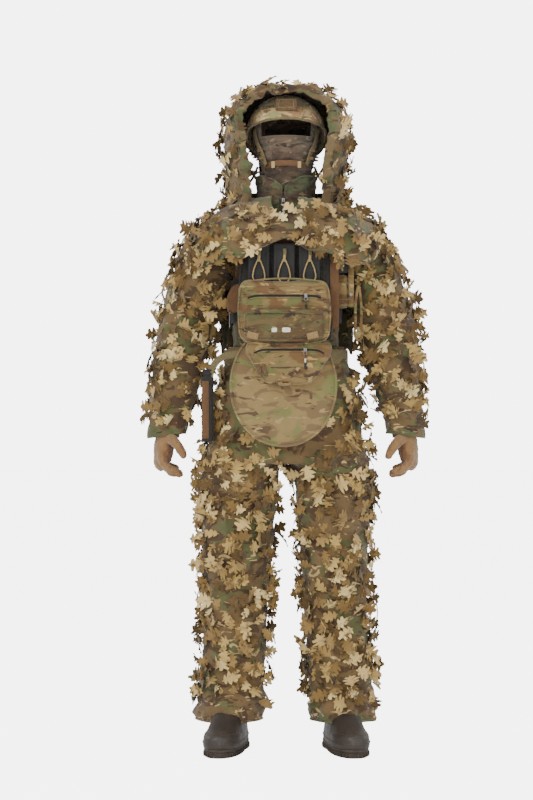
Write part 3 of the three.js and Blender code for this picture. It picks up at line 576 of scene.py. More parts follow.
def spread(tree, vector, size, detail, low, high, turn=0.0, stretch=(1, 1, 1), bend=0.0):
    """A mask of soft-edged patches about size metres across."""
    turned = node(tree, "ShaderNodeMapping",
                  {"Vector": vector, "Location": (turn, turn * 1.7, -turn), "Scale": stretch})
    cloud = node(tree, "ShaderNodeTexNoise",
                 {"Vector": turned.outputs[0], "Scale": 1 / size, "Detail": detail,
                  "Roughness": 0.55, "Distortion": bend})
    return node(tree, "ShaderNodeMapRange", {"Value": cloud.outputs[0], "From Min": low,
                "From Max": high}, interpolation_type="SMOOTHSTEP").outputs[0]


def make_print_group():
    """Terrain print: green, brown, dark and pale patches over a ground colour."""
    tree, given, out = group(
        "Terrain print",
        [("Vector", "NodeSocketVector", None), ("Ground", "NodeSocketColor", None),
         ("Green", "NodeSocketColor", None), ("Brown", "NodeSocketColor", None),
         ("Dark", "NodeSocketColor", None), ("Pale", "NodeSocketColor", None)],
        [("Color", "NodeSocketColor")],
    )
    at = given["Vector"]
    layers = (
        ("Green", spread(tree, at, 0.085, 2.0, 0.47, 0.56, 3.1, (0.7, 1, 1.2), 0.5)),
        ("Brown", spread(tree, at, 0.060, 3.0, 0.53, 0.57, 8.4, (0.6, 1, 1.3), 0.9)),
        ("Dark", spread(tree, at, 0.034, 3.0, 0.60, 0.63, 14.2, (0.55, 1, 1.4), 1.2)),
        ("Pale", spread(tree, at, 0.028, 2.0, 0.625, 0.65, 21.7, (0.5, 1, 1.5), 1.0)),
    )
    colour = given["Ground"]
    for name, mask in layers:
        colour = node(tree, "ShaderNodeMix", {0: mask, 6: colour, 7: given[name]},
                      data_type="RGBA").outputs[2]
    tree.links.new(colour, out.inputs["Color"])
    return tree


def make_weave_group():
    """Weave: crossing threads, with a stronger rib every few threads."""
    tree, given, out = group(
        "Weave",
        [("Vector", "NodeSocketVector", None), ("Threads", "NodeSocketFloat", 900.0),
         ("Ribs", "NodeSocketFloat", 0.3)],
        [("Height", "NodeSocketFloat")],
    )
    parts = node(tree, "ShaderNodeSeparateXYZ", {0: given["Vector"]})
    side = node(tree, "ShaderNodeMath", {0: parts.outputs[0], 1: parts.outputs[1]}).outputs[0]
    waves = []
    for line, share in ((side, 1.0), (parts.outputs[2], 1.0), (side, 0.2), (parts.outputs[2], 0.2)):
        pace = node(tree, "ShaderNodeMath", {0: given["Threads"], 1: 6.283 * share},
                    operation="MULTIPLY").outputs[0]
        turn = node(tree, "ShaderNodeMath", {0: line, 1: pace}, operation="MULTIPLY").outputs[0]
        waves.append(node(tree, "ShaderNodeMath", {0: turn}, operation="SINE").outputs[0])
    cross = node(tree, "ShaderNodeMath", {0: waves[0], 1: waves[1]}, operation="MULTIPLY").outputs[0]
    ribs = node(tree, "ShaderNodeMath", {0: waves[2], 1: waves[3]}, operation="MAXIMUM").outputs[0]
    strong = node(tree, "ShaderNodeMath", {0: ribs, 1: given["Ribs"]}, operation="MULTIPLY").outputs[0]
    total = node(tree, "ShaderNodeMath", {0: cross, 1: strong}).outputs[0]
    half = node(tree, "ShaderNodeMapRange", {"Value": total, "From Min": -1.2, "From Max": 1.2})
    tree.links.new(half.outputs[0], out.inputs["Height"])
    return tree


def make_dust_group():
    """Dust: lightens or darkens a colour unevenly, as use and sun do."""
    tree, given, out = group(
        "Dust",
        [("Vector", "NodeSocketVector", None), ("Color", "NodeSocketColor", None),
         ("Tint", "NodeSocketColor", None), ("Amount", "NodeSocketFloat", 0.3),
         ("Size", "NodeSocketFloat", 20.0)],
        [("Color", "NodeSocketColor"), ("Mask", "NodeSocketFloat")],
    )
    cloud = node(tree, "ShaderNodeTexNoise", {"Vector": given["Vector"], "Scale": given["Size"],
                 "Detail": 6.0, "Roughness": 0.65})
    mask = node(tree, "ShaderNodeMapRange", {"Value": cloud.outputs[0], "From Min": 0.38,
                "From Max": 0.72}).outputs[0]
    share = node(tree, "ShaderNodeMath", {0: mask, 1: given["Amount"]}, operation="MULTIPLY")
    mixed = node(tree, "ShaderNodeMix", {0: share.outputs[0], 6: given["Color"], 7: given["Tint"]},
                 data_type="RGBA")
    tree.links.new(mixed.outputs[2], out.inputs["Color"])
    tree.links.new(mask, out.inputs["Mask"])
    return tree


def start_material(name, rough, metal=0.0, sheen=0.0, coat=0.0):
    made = bpy.data.materials.new(name)
    made.use_nodes = True
    tree = made.node_tree
    shader = tree.nodes["Principled BSDF"]
    shader.inputs["Roughness"].default_value = rough
    shader.inputs["Metallic"].default_value = metal
    shader.inputs["Sheen Weight"].default_value = sheen
    shader.inputs["Coat Weight"].default_value = coat
    at = node(tree, "ShaderNodeTexCoord").outputs["Object"]
    return tree, shader, at


def placed(tree, name, inputs):
    made = tree.nodes.new("ShaderNodeGroup")
    made.node_tree = bpy.data.node_groups[name]
    for key, value in inputs.items():
        if isinstance(value, bpy.types.NodeSocket):
            tree.links.new(value, made.inputs[key])
        else:
            made.inputs[key].default_value = value
    return made.outputs


def surface(tree, shader, at, colour, tint, amount, height, strength, depth=0.0006, size=20.0):
    dusty = placed(tree, "Dust", {"Vector": at, "Color": colour, "Tint": paint(tint),
                                  "Amount": amount, "Size": size})
    tree.links.new(dusty["Color"], shader.inputs["Base Color"])
    bump = node(tree, "ShaderNodeBump", {"Strength": strength, "Distance": depth, "Height": height})
    tree.links.new(bump.outputs[0], shader.inputs["Normal"])


def printed(name, ground, green, brown, dark, pale, rough=0.9, threads=700.0, tint="#3a2f1e"):
    """Matt printed cloth with a fine grid in its weave."""
    tree, shader, at = start_material(name, rough, sheen=0.15)
    colour = placed(tree, "Terrain print", {
        "Vector": at, "Ground": paint(ground), "Green": paint(green), "Brown": paint(brown),
        "Dark": paint(dark), "Pale": paint(pale)})["Color"]
    weave = placed(tree, "Weave", {"Vector": at, "Threads": threads, "Ribs": 0.5})["Height"]
    surface(tree, shader, at, colour, tint, 0.35, weave, 0.5, 0.0004)


def woven(name, colour, tint, threads=420.0, rough=0.85, amount=0.4, ribs=0.15):
    """Plain webbing or knit, in one yarn colour that has faded unevenly."""
    tree, shader, at = start_material(name, rough, sheen=0.1)
    grain = spread(tree, at, 0.0035, 3.0, 0.3, 0.7)
    base = node(tree, "ShaderNodeMix", {0: grain, 6: paint(colour), 7: paint(tint)},
                data_type="RGBA").outputs[2]
    weave = placed(tree, "Weave", {"Vector": at, "Threads": threads, "Ribs": ribs})["Height"]
    surface(tree, shader, at, base, tint, amount, weave, 0.7, 0.0005, 35.0)


def grained(name, colour, tint, rough, size=0.002, metal=0.0, coat=0.0, amount=0.4, sheen=0.0,
            depth=0.0003):
    """Moulded, leather, rubber or metal faces with a fine grain and some wear."""
    tree, shader, at = start_material(name, rough, metal, sheen, coat)
    grain = spread(tree, at, size, 4.0, 0.25, 0.75)
    base = node(tree, "ShaderNodeMix", {0: 0.5, 6: paint(colour), 7: paint(colour)},
                data_type="RGBA").outputs[2]
    surface(tree, shader, at, base, tint, amount, grain, 0.6, depth, 28.0)
    dusty = node(tree, "ShaderNodeMapRange", {"Value": grain, "To Min": rough * 0.85,
                 "To Max": min(1.0, rough * 1.15)})
    tree.links.new(dusty.outputs[0], shader.inputs["Roughness"])


def make_leaf_material():
    tree, shader, at = start_material("leaf_cut", 0.88, sheen=0.1)
    tone = node(tree, "ShaderNodeAttribute", attribute_name="leaf_tone").outputs["Fac"]
    ramp = tree.nodes.new("ShaderNodeValToRGB")
    colours = ((0.0, "#33260f"), (0.16, "#523f1f"), (0.34, "#6d5730"), (0.52, "#887047"),
               (0.68, "#a38b58"), (0.84, "#bda574"), (1.0, "#d6c493"))
    points = ramp.color_ramp.elements
    for spot, (where, code) in enumerate(colours):
        point = points[spot] if spot < 2 else points.new(where)
        point.position, point.color = where, paint(code)
    tree.links.new(tone, ramp.inputs[0])
    speck = spread(tree, at, 0.02, 3.0, 0.52, 0.66, 5.0)
    mottled = node(tree, "ShaderNodeMix", {0: speck, 6: ramp.outputs[0], 7: paint("#5d4b2c")},
                   data_type="RGBA").outputs[2]
    back = node(tree, "ShaderNodeNewGeometry").outputs["Backfacing"]
    share = node(tree, "ShaderNodeMath", {0: back, 1: 0.35}, operation="MULTIPLY").outputs[0]
    sides = node(tree, "ShaderNodeMix", {0: share, 6: mottled, 7: paint("#7a663f")},
                 data_type="RGBA").outputs[2]
    weave = placed(tree, "Weave", {"Vector": at, "Threads": 800.0, "Ribs": 0.2})["Height"]
    surface(tree, shader, at, sides, "#4a3a22", 0.3, weave, 0.4, 0.0004)


def make_mask_material():
    tree, shader, at = start_material("mask_knit", 0.92, sheen=0.2)
    colour = placed(tree, "Terrain print", {
        "Vector": at, "Ground": paint("#51463a"), "Green": paint("#3d3a2d"),
        "Brown": paint("#382c23"), "Dark": paint("#241b14"), "Pale": paint("#6d6150")})["Color"]
    knit = spread(tree, at, 0.0016, 2.0, 0.3, 0.7, 0.0, (1, 1, 0.4))
    surface(tree, shader, at, colour, "#5a4635", 0.5, knit, 0.5, 0.0005, 60.0)


def make_finishes():
    for old in bpy.data.materials:
        old.name = "frame_" + old.name
    suit, gear = bpy.context.scene.suit_cloth, bpy.context.scene.suit_gear
    make_print_group()
    make_weave_group()
    make_dust_group()
    printed("suit_cloth", suit.ground, suit.green, suit.brown, "#3b2b19", "#a8946b")
    printed("hood_cloth", "#5f5037", "#474c30", "#45331f", "#281e12", "#7c6a4a")
    printed("pouch_cloth", "#715f3e", "#5a5935", "#5b4529", "#38291a", "#8f7c52", tint="#483a24")
    printed("pocket_cloth", "#584a2e", "#464829", "#46371f", "#2b2014", "#74653f", tint="#382d1b")
    printed("flap_cloth", "#7c6a48", "#64643d", "#65543a", "#443524", "#8f7d59", tint="#5c4d34")
    # helmet cover: its own print, made much lighter than the hood's as painted sunlight on the brow, which sits in
    # the hood's shade
    printed("helmet_cloth", "#a8946c", "#85845a", "#86694a", "#5d4a35", "#bfab84", tint="#7c6849")
    printed("collar_cloth", "#544a34", "#444a33", "#43352a", "#2c2318", "#6d6046")
    make_mask_material()
    make_leaf_material()
    woven("dark_webbing", gear.webbing, "#211e17")
    woven("tan_webbing", gear.strap, "#4a3420")
    woven("olive_webbing", "#6f6447", "#51482f")
    woven("brown_webbing", "#5f4b30", "#40301e")
    woven("sand_elastic", "#a89469", "#8a744c", 900.0)
    woven("dark_cord", "#2d2719", "#413824", 900.0)
    woven("hook_tab", "#8a7351", "#6c5a3c", 600.0, 0.95)
    woven("red_mesh", "#4a2a1e", "#301a13", 500.0)
    woven("white_tag", "#d8d4c8", "#bdb8a8", 900.0, 0.7)
    grained("suede", "#7c6140", "#584228", 0.93, 0.0012, sheen=0.3, amount=0.55, depth=0.0006)
    grained("suede_palm", "#6e5138", "#4b3624", 0.85, 0.0014, sheen=0.2, amount=0.5)
    grained("boot_leather", "#1f1812", "#332a20", 0.6, 0.0016, coat=0.12, amount=0.5)
    grained("sole_rubber", "#2a231d", "#50453a", 0.8, 0.0015, amount=0.6)
    # black polymer, darkened past its own black as painted shade, so that the magazines read as the shadowed gap
    # under the cape
    grained("black_polymer", "#0c0b09", "#1c1a15", 0.7, 0.0009, amount=0.25)
    grained("tan_polymer", "#94805b", "#6b5a3d", 0.55, 0.0009, amount=0.3)
    grained("steel", "#8a8a86", "#5e5c56", 0.38, 0.0006, metal=1.0, amount=0.4, depth=0.0001)
    make_scatter_tree()
    make_row_tree()
    make_items()
    make_cuts(suit.leaf_length)


# ---------------------------------------------------------------- what repeats


def inputs_of(tree, sockets):
    for key, kind, value in sockets:
        made = tree.interface.new_socket(name=key, in_out="INPUT", socket_type=kind)
        if value is not None:
            made.default_value = value
    tree.interface.new_socket(name="Mesh", in_out="OUTPUT", socket_type="NodeSocketGeometry")
    return tree.nodes.new("NodeGroupInput").outputs, tree.nodes.new("NodeGroupOutput")


def make_scatter_tree():
    """Leaves spread over cloth, each turned, lifted and sized at random."""
    tree = bpy.data.node_groups.new("Leaf scatter", "GeometryNodeTree")
    given, out = inputs_of(tree, [
        ("Cloth", "NodeSocketGeometry", None), ("Cuts", "NodeSocketCollection", None),
        ("Spacing", "NodeSocketFloat", 0.022), ("Most per area", "NodeSocketFloat", 2200.0),
        ("Seed", "NodeSocketInt", 1), ("Least lift", "NodeSocketFloat", 0.1),
        ("Most lift", "NodeSocketFloat", 1.0), ("Least size", "NodeSocketFloat", 0.8),
        ("Most size", "NodeSocketFloat", 1.2), ("Material", "NodeSocketMaterial", None),
    ])
    where = node(tree, "GeometryNodeInputNamedAttribute", {"Name": "leafy"}).outputs[0]
    dots = node(tree, "GeometryNodeDistributePointsOnFaces", {
        "Mesh": given["Cloth"], "Distance Min": given["Spacing"],
        "Density Max": given["Most per area"], "Density Factor": where,
        "Seed": given["Seed"]}, distribute_method="POISSON")

    def chance(low, high, salt):
        seed = node(tree, "ShaderNodeMath", {0: given["Seed"], 1: salt}).outputs[0]
        made = node(tree, "FunctionNodeRandomValue", {"Seed": seed}, data_type="FLOAT")
        for key, value in ((2, low), (3, high)):
            if isinstance(value, float):
                made.inputs[key].default_value = value
            else:
                tree.links.new(value, made.inputs[key])
        return made.outputs[1]

    lift = node(tree, "ShaderNodeMath", {0: chance(given["Least lift"], given["Most lift"], 11.0),
                1: -1.0}, operation="MULTIPLY").outputs[0]
    yaw = node(tree, "ShaderNodeCombineXYZ", {2: chance(0.0, 6.283, 23.0)}).outputs[0]
    pitch = node(tree, "ShaderNodeCombineXYZ", {0: chance(-0.5, 0.5, 37.0), 1: lift}).outputs[0]
    turn = dots.outputs["Rotation"]
    for angle in (yaw, pitch):
        as_turn = node(tree, "FunctionNodeEulerToRotation", {0: angle}).outputs[0]
        turn = node(tree, "FunctionNodeRotateRotation", {0: turn, 1: as_turn},
                    rotation_space="LOCAL").outputs[0]
    cuts = node(tree, "GeometryNodeCollectionInfo", {
        "Collection": given["Cuts"], "Separate Children": True, "Reset Children": True})
    pick = node(tree, "FunctionNodeRandomValue", {4: 0, 5: 5, "Seed": given["Seed"]},
                data_type="INT").outputs[2]
    leaves = node(tree, "GeometryNodeInstanceOnPoints", {
        "Points": dots.outputs[0], "Instance": cuts.outputs[0], "Pick Instance": True,
        "Instance Index": pick, "Rotation": turn,
        "Scale": chance(given["Least size"], given["Most size"], 53.0)})
    toned = node(tree, "GeometryNodeStoreNamedAttribute", {
        "Geometry": leaves.outputs[0], "Name": "leaf_tone", "Value": chance(0.0, 1.0, 71.0)},
        data_type="FLOAT", domain="INSTANCE")
    real = node(tree, "GeometryNodeRealizeInstances", {"Geometry": toned.outputs[0]})
    done = node(tree, "GeometryNodeSetMaterial", {"Geometry": real.outputs[0],
                "Material": given["Material"]})
    tree.links.new(done.outputs[0], out.inputs[0])
    return tree


def make_row_tree():
    """One item repeated along lines, its top to the line's facing."""
    tree = bpy.data.node_groups.new("Row along line", "GeometryNodeTree")
    given, out = inputs_of(tree, [
        ("Lines", "NodeSocketGeometry", None), ("Item", "NodeSocketObject", None),
        ("Spacing", "NodeSocketFloat", 0.004), ("Material", "NodeSocketMaterial", None),
    ])
    curve = node(tree, "GeometryNodeMeshToCurve", {0: given["Lines"]}).outputs[0]
    even = node(tree, "GeometryNodeResampleCurve", {"Curve": curve, "Length": given["Spacing"]},
                mode="LENGTH").outputs[0]
    facing = node(tree, "GeometryNodeInputNamedAttribute", {"Name": "facing"},
                  data_type="FLOAT_VECTOR").outputs[0]
    along = node(tree, "GeometryNodeInputTangent").outputs[0]
    up = node(tree, "FunctionNodeAlignRotationToVector", {"Vector": facing}, axis="Z").outputs[0]
    turn = node(tree, "FunctionNodeAlignRotationToVector", {"Rotation": up, "Vector": along},
                axis="X", pivot_axis="Z").outputs[0]
    item = node(tree, "GeometryNodeObjectInfo", {"Object": given["Item"]})
    row = node(tree, "GeometryNodeInstanceOnPoints", {
        "Points": even, "Instance": item.outputs["Geometry"], "Rotation": turn}).outputs[0]
    real = node(tree, "GeometryNodeRealizeInstances", {"Geometry": row}).outputs[0]
    done = node(tree, "GeometryNodeSetMaterial", {"Geometry": real, "Material": given["Material"]})
    tree.links.new(done.outputs[0], out.inputs[0])
    return tree


def run_tree(obj, tree_name, values):
    made = obj.modifiers.new(tree_name, "NODES")
    made.node_group = bpy.data.node_groups[tree_name]
    for socket in made.node_group.interface.items_tree:
        if socket.in_out == "INPUT" and socket.name in values:
            made[socket.identifier] = values[socket.name]
    obj = finished(obj)
    obj.data.materials.clear()
    obj.data.materials.append(values["Material"])
    obj.data.polygons.foreach_set("material_index", [0] * len(obj.data.polygons))
    return obj


LEAF_EDGE = ((0.0, 0.03), (0.10, 0.05), (0.16, 0.20), (0.27, 0.27), (0.31, 0.10), (0.42, 0.31),
             (0.55, 0.42), (0.59, 0.15), (0.70, 0.33), (0.84, 0.30), (0.82, 0.12), (1.0, 0.05))


def make_cuts(leaf_length):
    """Five lobed leaf shapes, each curled in its own way."""
    cuts = bpy.data.collections.new("leaf_cuts")
    rules = ((1.0, 0.9, 0.3, 0.35), (0.85, 1.15, -0.2, 0.5), (1.1, 0.8, 0.45, -0.3),
             (0.95, 1.05, 0.15, -0.6), (0.75, 1.25, 0.5, 0.2))
    for number, (long, wide, droop, cup) in enumerate(rules):
        points, faces = [], []
        n = len(LEAF_EDGE)
        for side in (1, 0, -1):
            for k, (x, y) in enumerate(LEAF_EDGE):
                wobble = 0.06 * noise.noise(Vector((k * 1.7, side * 3.1, number * 5.3)))
                px, py = (x + wobble) * long, (y + wobble) * wide * side
                pz = -droop * px * px + cup * abs(py) * 0.8 + 0.05 * side * px
                points.append(Vector((px, py, pz)) * leaf_length)
        for k in range(n - 1):
            faces += [(k + 1, k, n + k, n + k + 1), (n + k + 1, n + k, 2 * n + k, 2 * n + k + 1)]
        leaf = new_object(f"cut_{number}", points, faces)
        bpy.context.scene.collection.objects.unlink(leaf)
        cuts.objects.link(leaf)
    bpy.context.scene.collection.children.link(cuts)


def leafy(obj, share):
    """Stores how thickly leaves sit on each point, from share(points)."""
    mark = obj.data.attributes.new("leafy", "FLOAT", "POINT")
    mark.data.foreach_set("value", np.clip(share(points_of(obj)), 0, 1).astype(np.float32))
    return obj


def leaves_on(name, cloth, share, seed, lift=(0.15, 1.0), size=(0.75, 1.2)):
    base = leafy(copy_of(cloth, name), share)
    base.data.materials.clear()
    leaves = run_tree(base, "Leaf scatter", {
        "Cuts": bpy.data.collections["leaf_cuts"], "Seed": seed,
        "Spacing": bpy.context.scene.suit_cloth.leaf_spacing,
        "Least lift": lift[0], "Most lift": lift[1], "Least size": size[0],
        "Most size": size[1], "Material": bpy.data.materials["leaf_cut"]})
    for face in leaves.data.polygons:
        face.use_smooth = True
    set_points(leaves, pressed(points_of(leaves)))
    return leaves


def pressed(points):
    """Lays the outermost leaves flatter, as cloth brushed in passing does."""
    x, y = points[:, 0], points[:, 1]
    points[:, 0] = np.sign(x) * np.where(np.abs(x) > 0.395, 0.395 + (np.abs(x) - 0.395) * 0.5, np.abs(x))
    points[:, 1] = np.where(y > 0.200, 0.200 + (y - 0.200) * 0.28, y)
    return points


def make_items():
    """The small shapes that rows repeat: a stitch, a laser-cut slot, a zip tooth, a lug."""
    shapes = {
        "stitch": ((2.4, 0.6, 0.5), 0.0), "slot": ((16.0, 3.0, 0.5), 0.0),
        "tooth": ((1.4, 3.4, 1.4), 0.0), "lug": ((16.0, 22.0, 7.0), 0.0), "rung": ((3.0, 12.0, 1.6), 0.0),
    }
    for key, ((long, wide, high), _) in shapes.items():
        a, b, h = long / 2 * MM, wide / 2 * MM, high * MM
        low = [(-a, -b, -h), (a, -b, -h), (a, b, -h), (-a, b, -h)]
        top = [(x * 0.8, y * 0.7, h) for x, y, _ in low]
        faces = [(3, 2, 1, 0), (4, 5, 6, 7)] + [
            (i, (i + 1) % 4, 4 + (i + 1) % 4, 4 + i) for i in range(4)]
        item = new_object(key, low + top, faces)
        item.hide_render = True


def row(name, lines, item, spacing, material):
    """item repeated along each line; a line is (points, facing)."""
    points, edges, facings = [], [], []
    for line, facing in lines:
        start = len(points)
        line = np.asarray(line, float)
        points += list(line)
        facings += list(np.broadcast_to(np.asarray(facing, float), line.shape))
        edges += [(start + i, start + i + 1) for i in range(len(line) - 1)]
    base = new_object(name, points, [], None, edges)
    mark = base.data.attributes.new("facing", "FLOAT_VECTOR", "POINT")
    mark.data.foreach_set("vector", np.array(facings, np.float32).ravel())
    made = run_tree(base, "Row along line", {
        "Item": bpy.data.objects[item], "Spacing": spacing,
        "Material": bpy.data.materials[material]})
    return made


def clear_sources():
    for obj in list(bpy.data.collections["leaf_cuts"].objects):
        bpy.data.objects.remove(obj)
    bpy.data.collections.remove(bpy.data.collections["leaf_cuts"])
    for key in ("stitch", "slot", "tooth", "lug", "rung"):
        bpy.data.objects.remove(bpy.data.objects[key])


# ---------------------------------------------------------------- stage


SUBJECT_X, SUBJECT_Z = -0.054, 0.968
VIEW_HEIGHT = 2.216
SENSOR = 36.0


def make_stage(distance, height, light):
    camera = bpy.data.objects.new("camera", bpy.data.cameras.new("camera"))
    bpy.context.scene.collection.objects.link(camera)
    camera.location = (SUBJECT_X, -distance, height)
    aim = Vector((SUBJECT_X, 0, SUBJECT_Z)) - camera.location
    camera.rotation_euler = aim.to_track_quat("-Z", "Y").to_euler()
    camera.data.sensor_width = SENSOR
    camera.data.lens = SENSOR * aim.length / VIEW_HEIGHT
    camera.data.clip_end = 60
    bpy.context.scene.camera = camera

    tree, shader, at = start_material("floor_paint", 0.9)
    cloud = spread(tree, at, 0.6, 2.0, 0.2, 0.8)
    pale = node(tree, "ShaderNodeMix", {0: cloud, 6: paint("#f4f4f3"), 7: paint("#f8f8f8")},
                data_type="RGBA").outputs[2]
    tree.links.new(pale, shader.inputs["Base Color"])
    # the floor looks as white as the studio behind it, without lighting the suit from below
    seen = node(tree, "ShaderNodeLightPath").outputs["Is Camera Ray"]
    share = node(tree, "ShaderNodeMath", {0: seen, 1: 0.8}, operation="MULTIPLY").outputs[0]
    glow = node(tree, "ShaderNodeEmission", {"Color": paint("#ffffff"), "Strength": 7.0})
    mixed = node(tree, "ShaderNodeMixShader", {0: share, 1: shader.outputs[0], 2: glow.outputs[0]})
    output = next(n for n in tree.nodes if n.type == "OUTPUT_MATERIAL")
    tree.links.new(mixed.outputs[0], output.inputs[0])
    points = [(-30.0, -30.0, 0.0), (30.0, -30.0, 0.0), (30.0, 30.0, 0.0), (-30.0, 30.0, 0.0)]
    floor = new_object("floor", points, [(0, 1, 2, 3)], "floor_paint")

    world = bpy.data.worlds.new("studio")
    bpy.context.scene.world = world
    world.use_nodes = True
    back = world.node_tree.nodes["Background"]
    back.inputs[0].default_value = (1.0, 1.0, 1.0, 1.0)
    seen = world.node_tree.nodes.new("ShaderNodeLightPath").outputs["Is Camera Ray"]
    glow = world.node_tree.nodes.new("ShaderNodeMath")
    glow.operation = "MULTIPLY_ADD"
    world.node_tree.links.new(seen, glow.inputs[0])
    glow.inputs[1].default_value = 5.0
    glow.inputs[2].default_value = 0.85 * light
    world.node_tree.links.new(glow.outputs[0], back.inputs[1])
    lamps = (("key", (-2.6, -4.2, 3.6), 2.4, 170), ("fill", (3.4, -3.6, 2.0), 3.0, 60),
             ("top", (0.0, -0.6, 4.4), 2.6, 60), ("rim_left", (-3.4, 1.6, 2.2), 1.6, 45),
             ("rim_right", (3.4, 1.6, 2.2), 1.6, 45), ("front", (0.0, -5.0, 1.3), 2.4, 60))
    for name, where, size, power in lamps:
        lamp = bpy.data.objects.new(name, bpy.data.lights.new(name, "AREA"))
        bpy.context.scene.collection.objects.link(lamp)
        lamp.data.size = size
        lamp.data.energy = power * light
        lamp.location = where
        target = Vector((0.0, 0.0, 1.0))
        lamp.rotation_euler = (target - lamp.location).to_track_quat("-Z", "Y").to_euler()


# ---------------------------------------------------------------- trousers and boots


KNEE_Z = 0.505
LEG_SPLIT = 0.600
SEAT = ((790, 196, 108, 0, 30), (840, 208, 117, 0, 30), (900, 209, 120, 0, 30),
        (1000, 194, 118, 0, 30), (1060, 176, 111, 0, 30), (1118, 160, 104, 0, 30))
LEG = ((74, 88, 88, 158, 28), (100, 96, 94, 157, 28), (135, 92, 91, 155, 28),
       (190, 88, 88, 151, 29), (280, 88, 87, 144, 30), (410, 86, 86, 138, 30),
       (505, 92, 90, 135, 30), (610, 98, 97, 134, 30), (720, 104, 105, 131, 30),
       (800, 108, 110, 124, 30), (880, 92, 102, 110, 30))


def closed_loft(name, rings, low, high, side, square, material, count=40, step=0.008):
    turns = np.arange(count) * 2 * math.pi / count
    heights = np.arange(low, high + step / 2, step)
    grid = loft_grid(rings, heights, turns, square)
    grid[..., 0] *= side
    obj = grid_object(name, grid, material)
    n = len(heights)
    work = bmesh.new()
    work.from_mesh(obj.data)
    work.verts.ensure_lookup_table()
    work.faces.new([work.verts[j] for j in range(count)])
    work.faces.new([work.verts[(n - 1) * count + j] for j in range(count)])
    bmesh.ops.recalc_face_normals(work, faces=work.faces)
    work.to_mesh(obj.data)
    work.free()
    return obj


def leg_folds(points):
    """Deeper folds where cloth gathers: over the boots, at the knees and the crotch."""
    z = points[:, 2]
    return 0.005 + 0.006 * near(z, 0.12, 0.11) + 0.004 * near(z, 0.50, 0.12) + 0.003 * near(z, 0.80, 0.08)


def leg_cover(points):
    z, x, y = points[:, 2], np.abs(points[:, 0]), points[:, 1]
    cover = rise(z, 0.125, 0.165) * (1 - rise(z, 1.02, 1.07))
    inner = rise(x, 0.020, 0.055)
    front = (y < 0.0) & (x < 0.15) & (z > 0.835)
    return cover * (0.35 + 0.65 * inner) * np.where(front, 0.12, 1.0)


def make_trousers():
    parts = [closed_loft("seat", SEAT, 0.792, 1.1184, 1, 2.1, "suit_cloth", 64)]
    for name, side in SIDES:
        parts.append(closed_loft("leg_" + name, LEG, 0.075, 0.878, side, 2.0, "suit_cloth", 44))
    whole = union("trousers_cloth", parts, 0.0075, "suit_cloth", 6)
    fold_mesh(
        whole,
        (0.085, leg_folds, 1, (1.0, 1.0, 1.35)),
        (0.036, lambda p: 0.35 * leg_folds(p), 2, (1.0, 1.0, 1.7)),
        (0.030, lambda p: 0.009 * near(p[:, 2], 0.115, 0.05), 3, (0.6, 0.6, 1.6)),
    )
    cut(whole, (0, 0, 1.115), (0, 0, 1))
    hip = copy_of(whole, "trousers_upper")
    cut(hip, (0, 0, LEG_SPLIT), (0, 0, -1))
    lower = cut(copy_of(whole, "legs"), (0, 0, LEG_SPLIT), (0, 0, 1))
    bpy.data.objects.remove(whole)
    leaves = leaves_on("trouser_leaves", hip, leg_cover, 11)
    place(leaves, "trunk", "leaf_cloth")
    place(wall(hip, cloth_thickness()), "trunk", "leaf_cloth", "trousers")
    for name, side in SIDES:
        leg = cut(copy_of(lower, "leg_cloth_" + name), (0, 0, 0), (-side, 0, 0))
        cut(leg, (0, 0, 0.084), (0, 0, -1))
        middle = (side * 0.135, BODY_Y)
        bend = ("leg_" + name, (*middle, LEG_SPLIT - 0.002), (*middle, 0.44))
        leaves = leaves_on("leg_leaves_" + name, leg, leg_cover, 20 + side)
        place(leaves, "trunk", "leaf_cloth", bend=bend)
        hem = leg_hem("leg_hem_" + name, leg)
        place(hem, "leg_" + name, "leaf_cloth")
        place(wall(leg, cloth_thickness()), "trunk", "leaf_cloth", "shin_" + name, bend=bend)
    bpy.data.objects.remove(lower)


def leg_hem(name, leg):
    """The rolled hem round the open end of a leg."""
    work = bmesh.new()
    work.from_mesh(leg.data)
    work.verts.ensure_lookup_table()
    ring = [v.co.copy() for v in work.verts if v.is_boundary and v.co.z < 0.09]
    work.free()
    middle = sum(ring, Vector()) / len(ring)
    ring.sort(key=lambda p: math.atan2(p.y - middle.y, p.x - middle.x))
    line = np.array(ring)[::3]
    return tube(name, line, 0.0035, "suit_cloth", 0.007, 8, closed=True)


BOOT_X, TOE_OUT = 0.154, math.radians(12)
BOOT_RINGS = ((26, 49, 139, 0, -35), (40, 51, 140, 0, -35), (56, 50, 137, 0, -34),
              (72, 46, 124, 0, -24), (86, 44, 106, 0, -8), (105, 44, 86, 0, 10),
              (140, 48, 67, 0, 27), (205, 55, 61, 0, 30))


def onto_foot(points, side):
    """From a boot pointing straight ahead to one turned out, on its own side."""
    points = np.asarray(points, float).copy()
    c, s = math.cos(TOE_OUT), math.sin(TOE_OUT)
    x, y = points[..., 0].copy(), points[..., 1].copy()
    points[..., 0] = side * (BOOT_X + x * c - y * s)
    points[..., 1] = x * s + y * c
    return points


def foot_outline(grow, count=72):
    """A sole's outline: wide and round at the toe, waisted, round at the heel."""
    turns = np.arange(count) * 2 * math.pi / count
    x, y = superellipse(50 * MM + grow, 139 * MM + grow, turns, 2.5)
    waist = 1 - 0.16 * near(y, 0.025, 0.09) - 0.10 * rise(y, 0.03, 0.14)
    return x * waist, y - 0.035


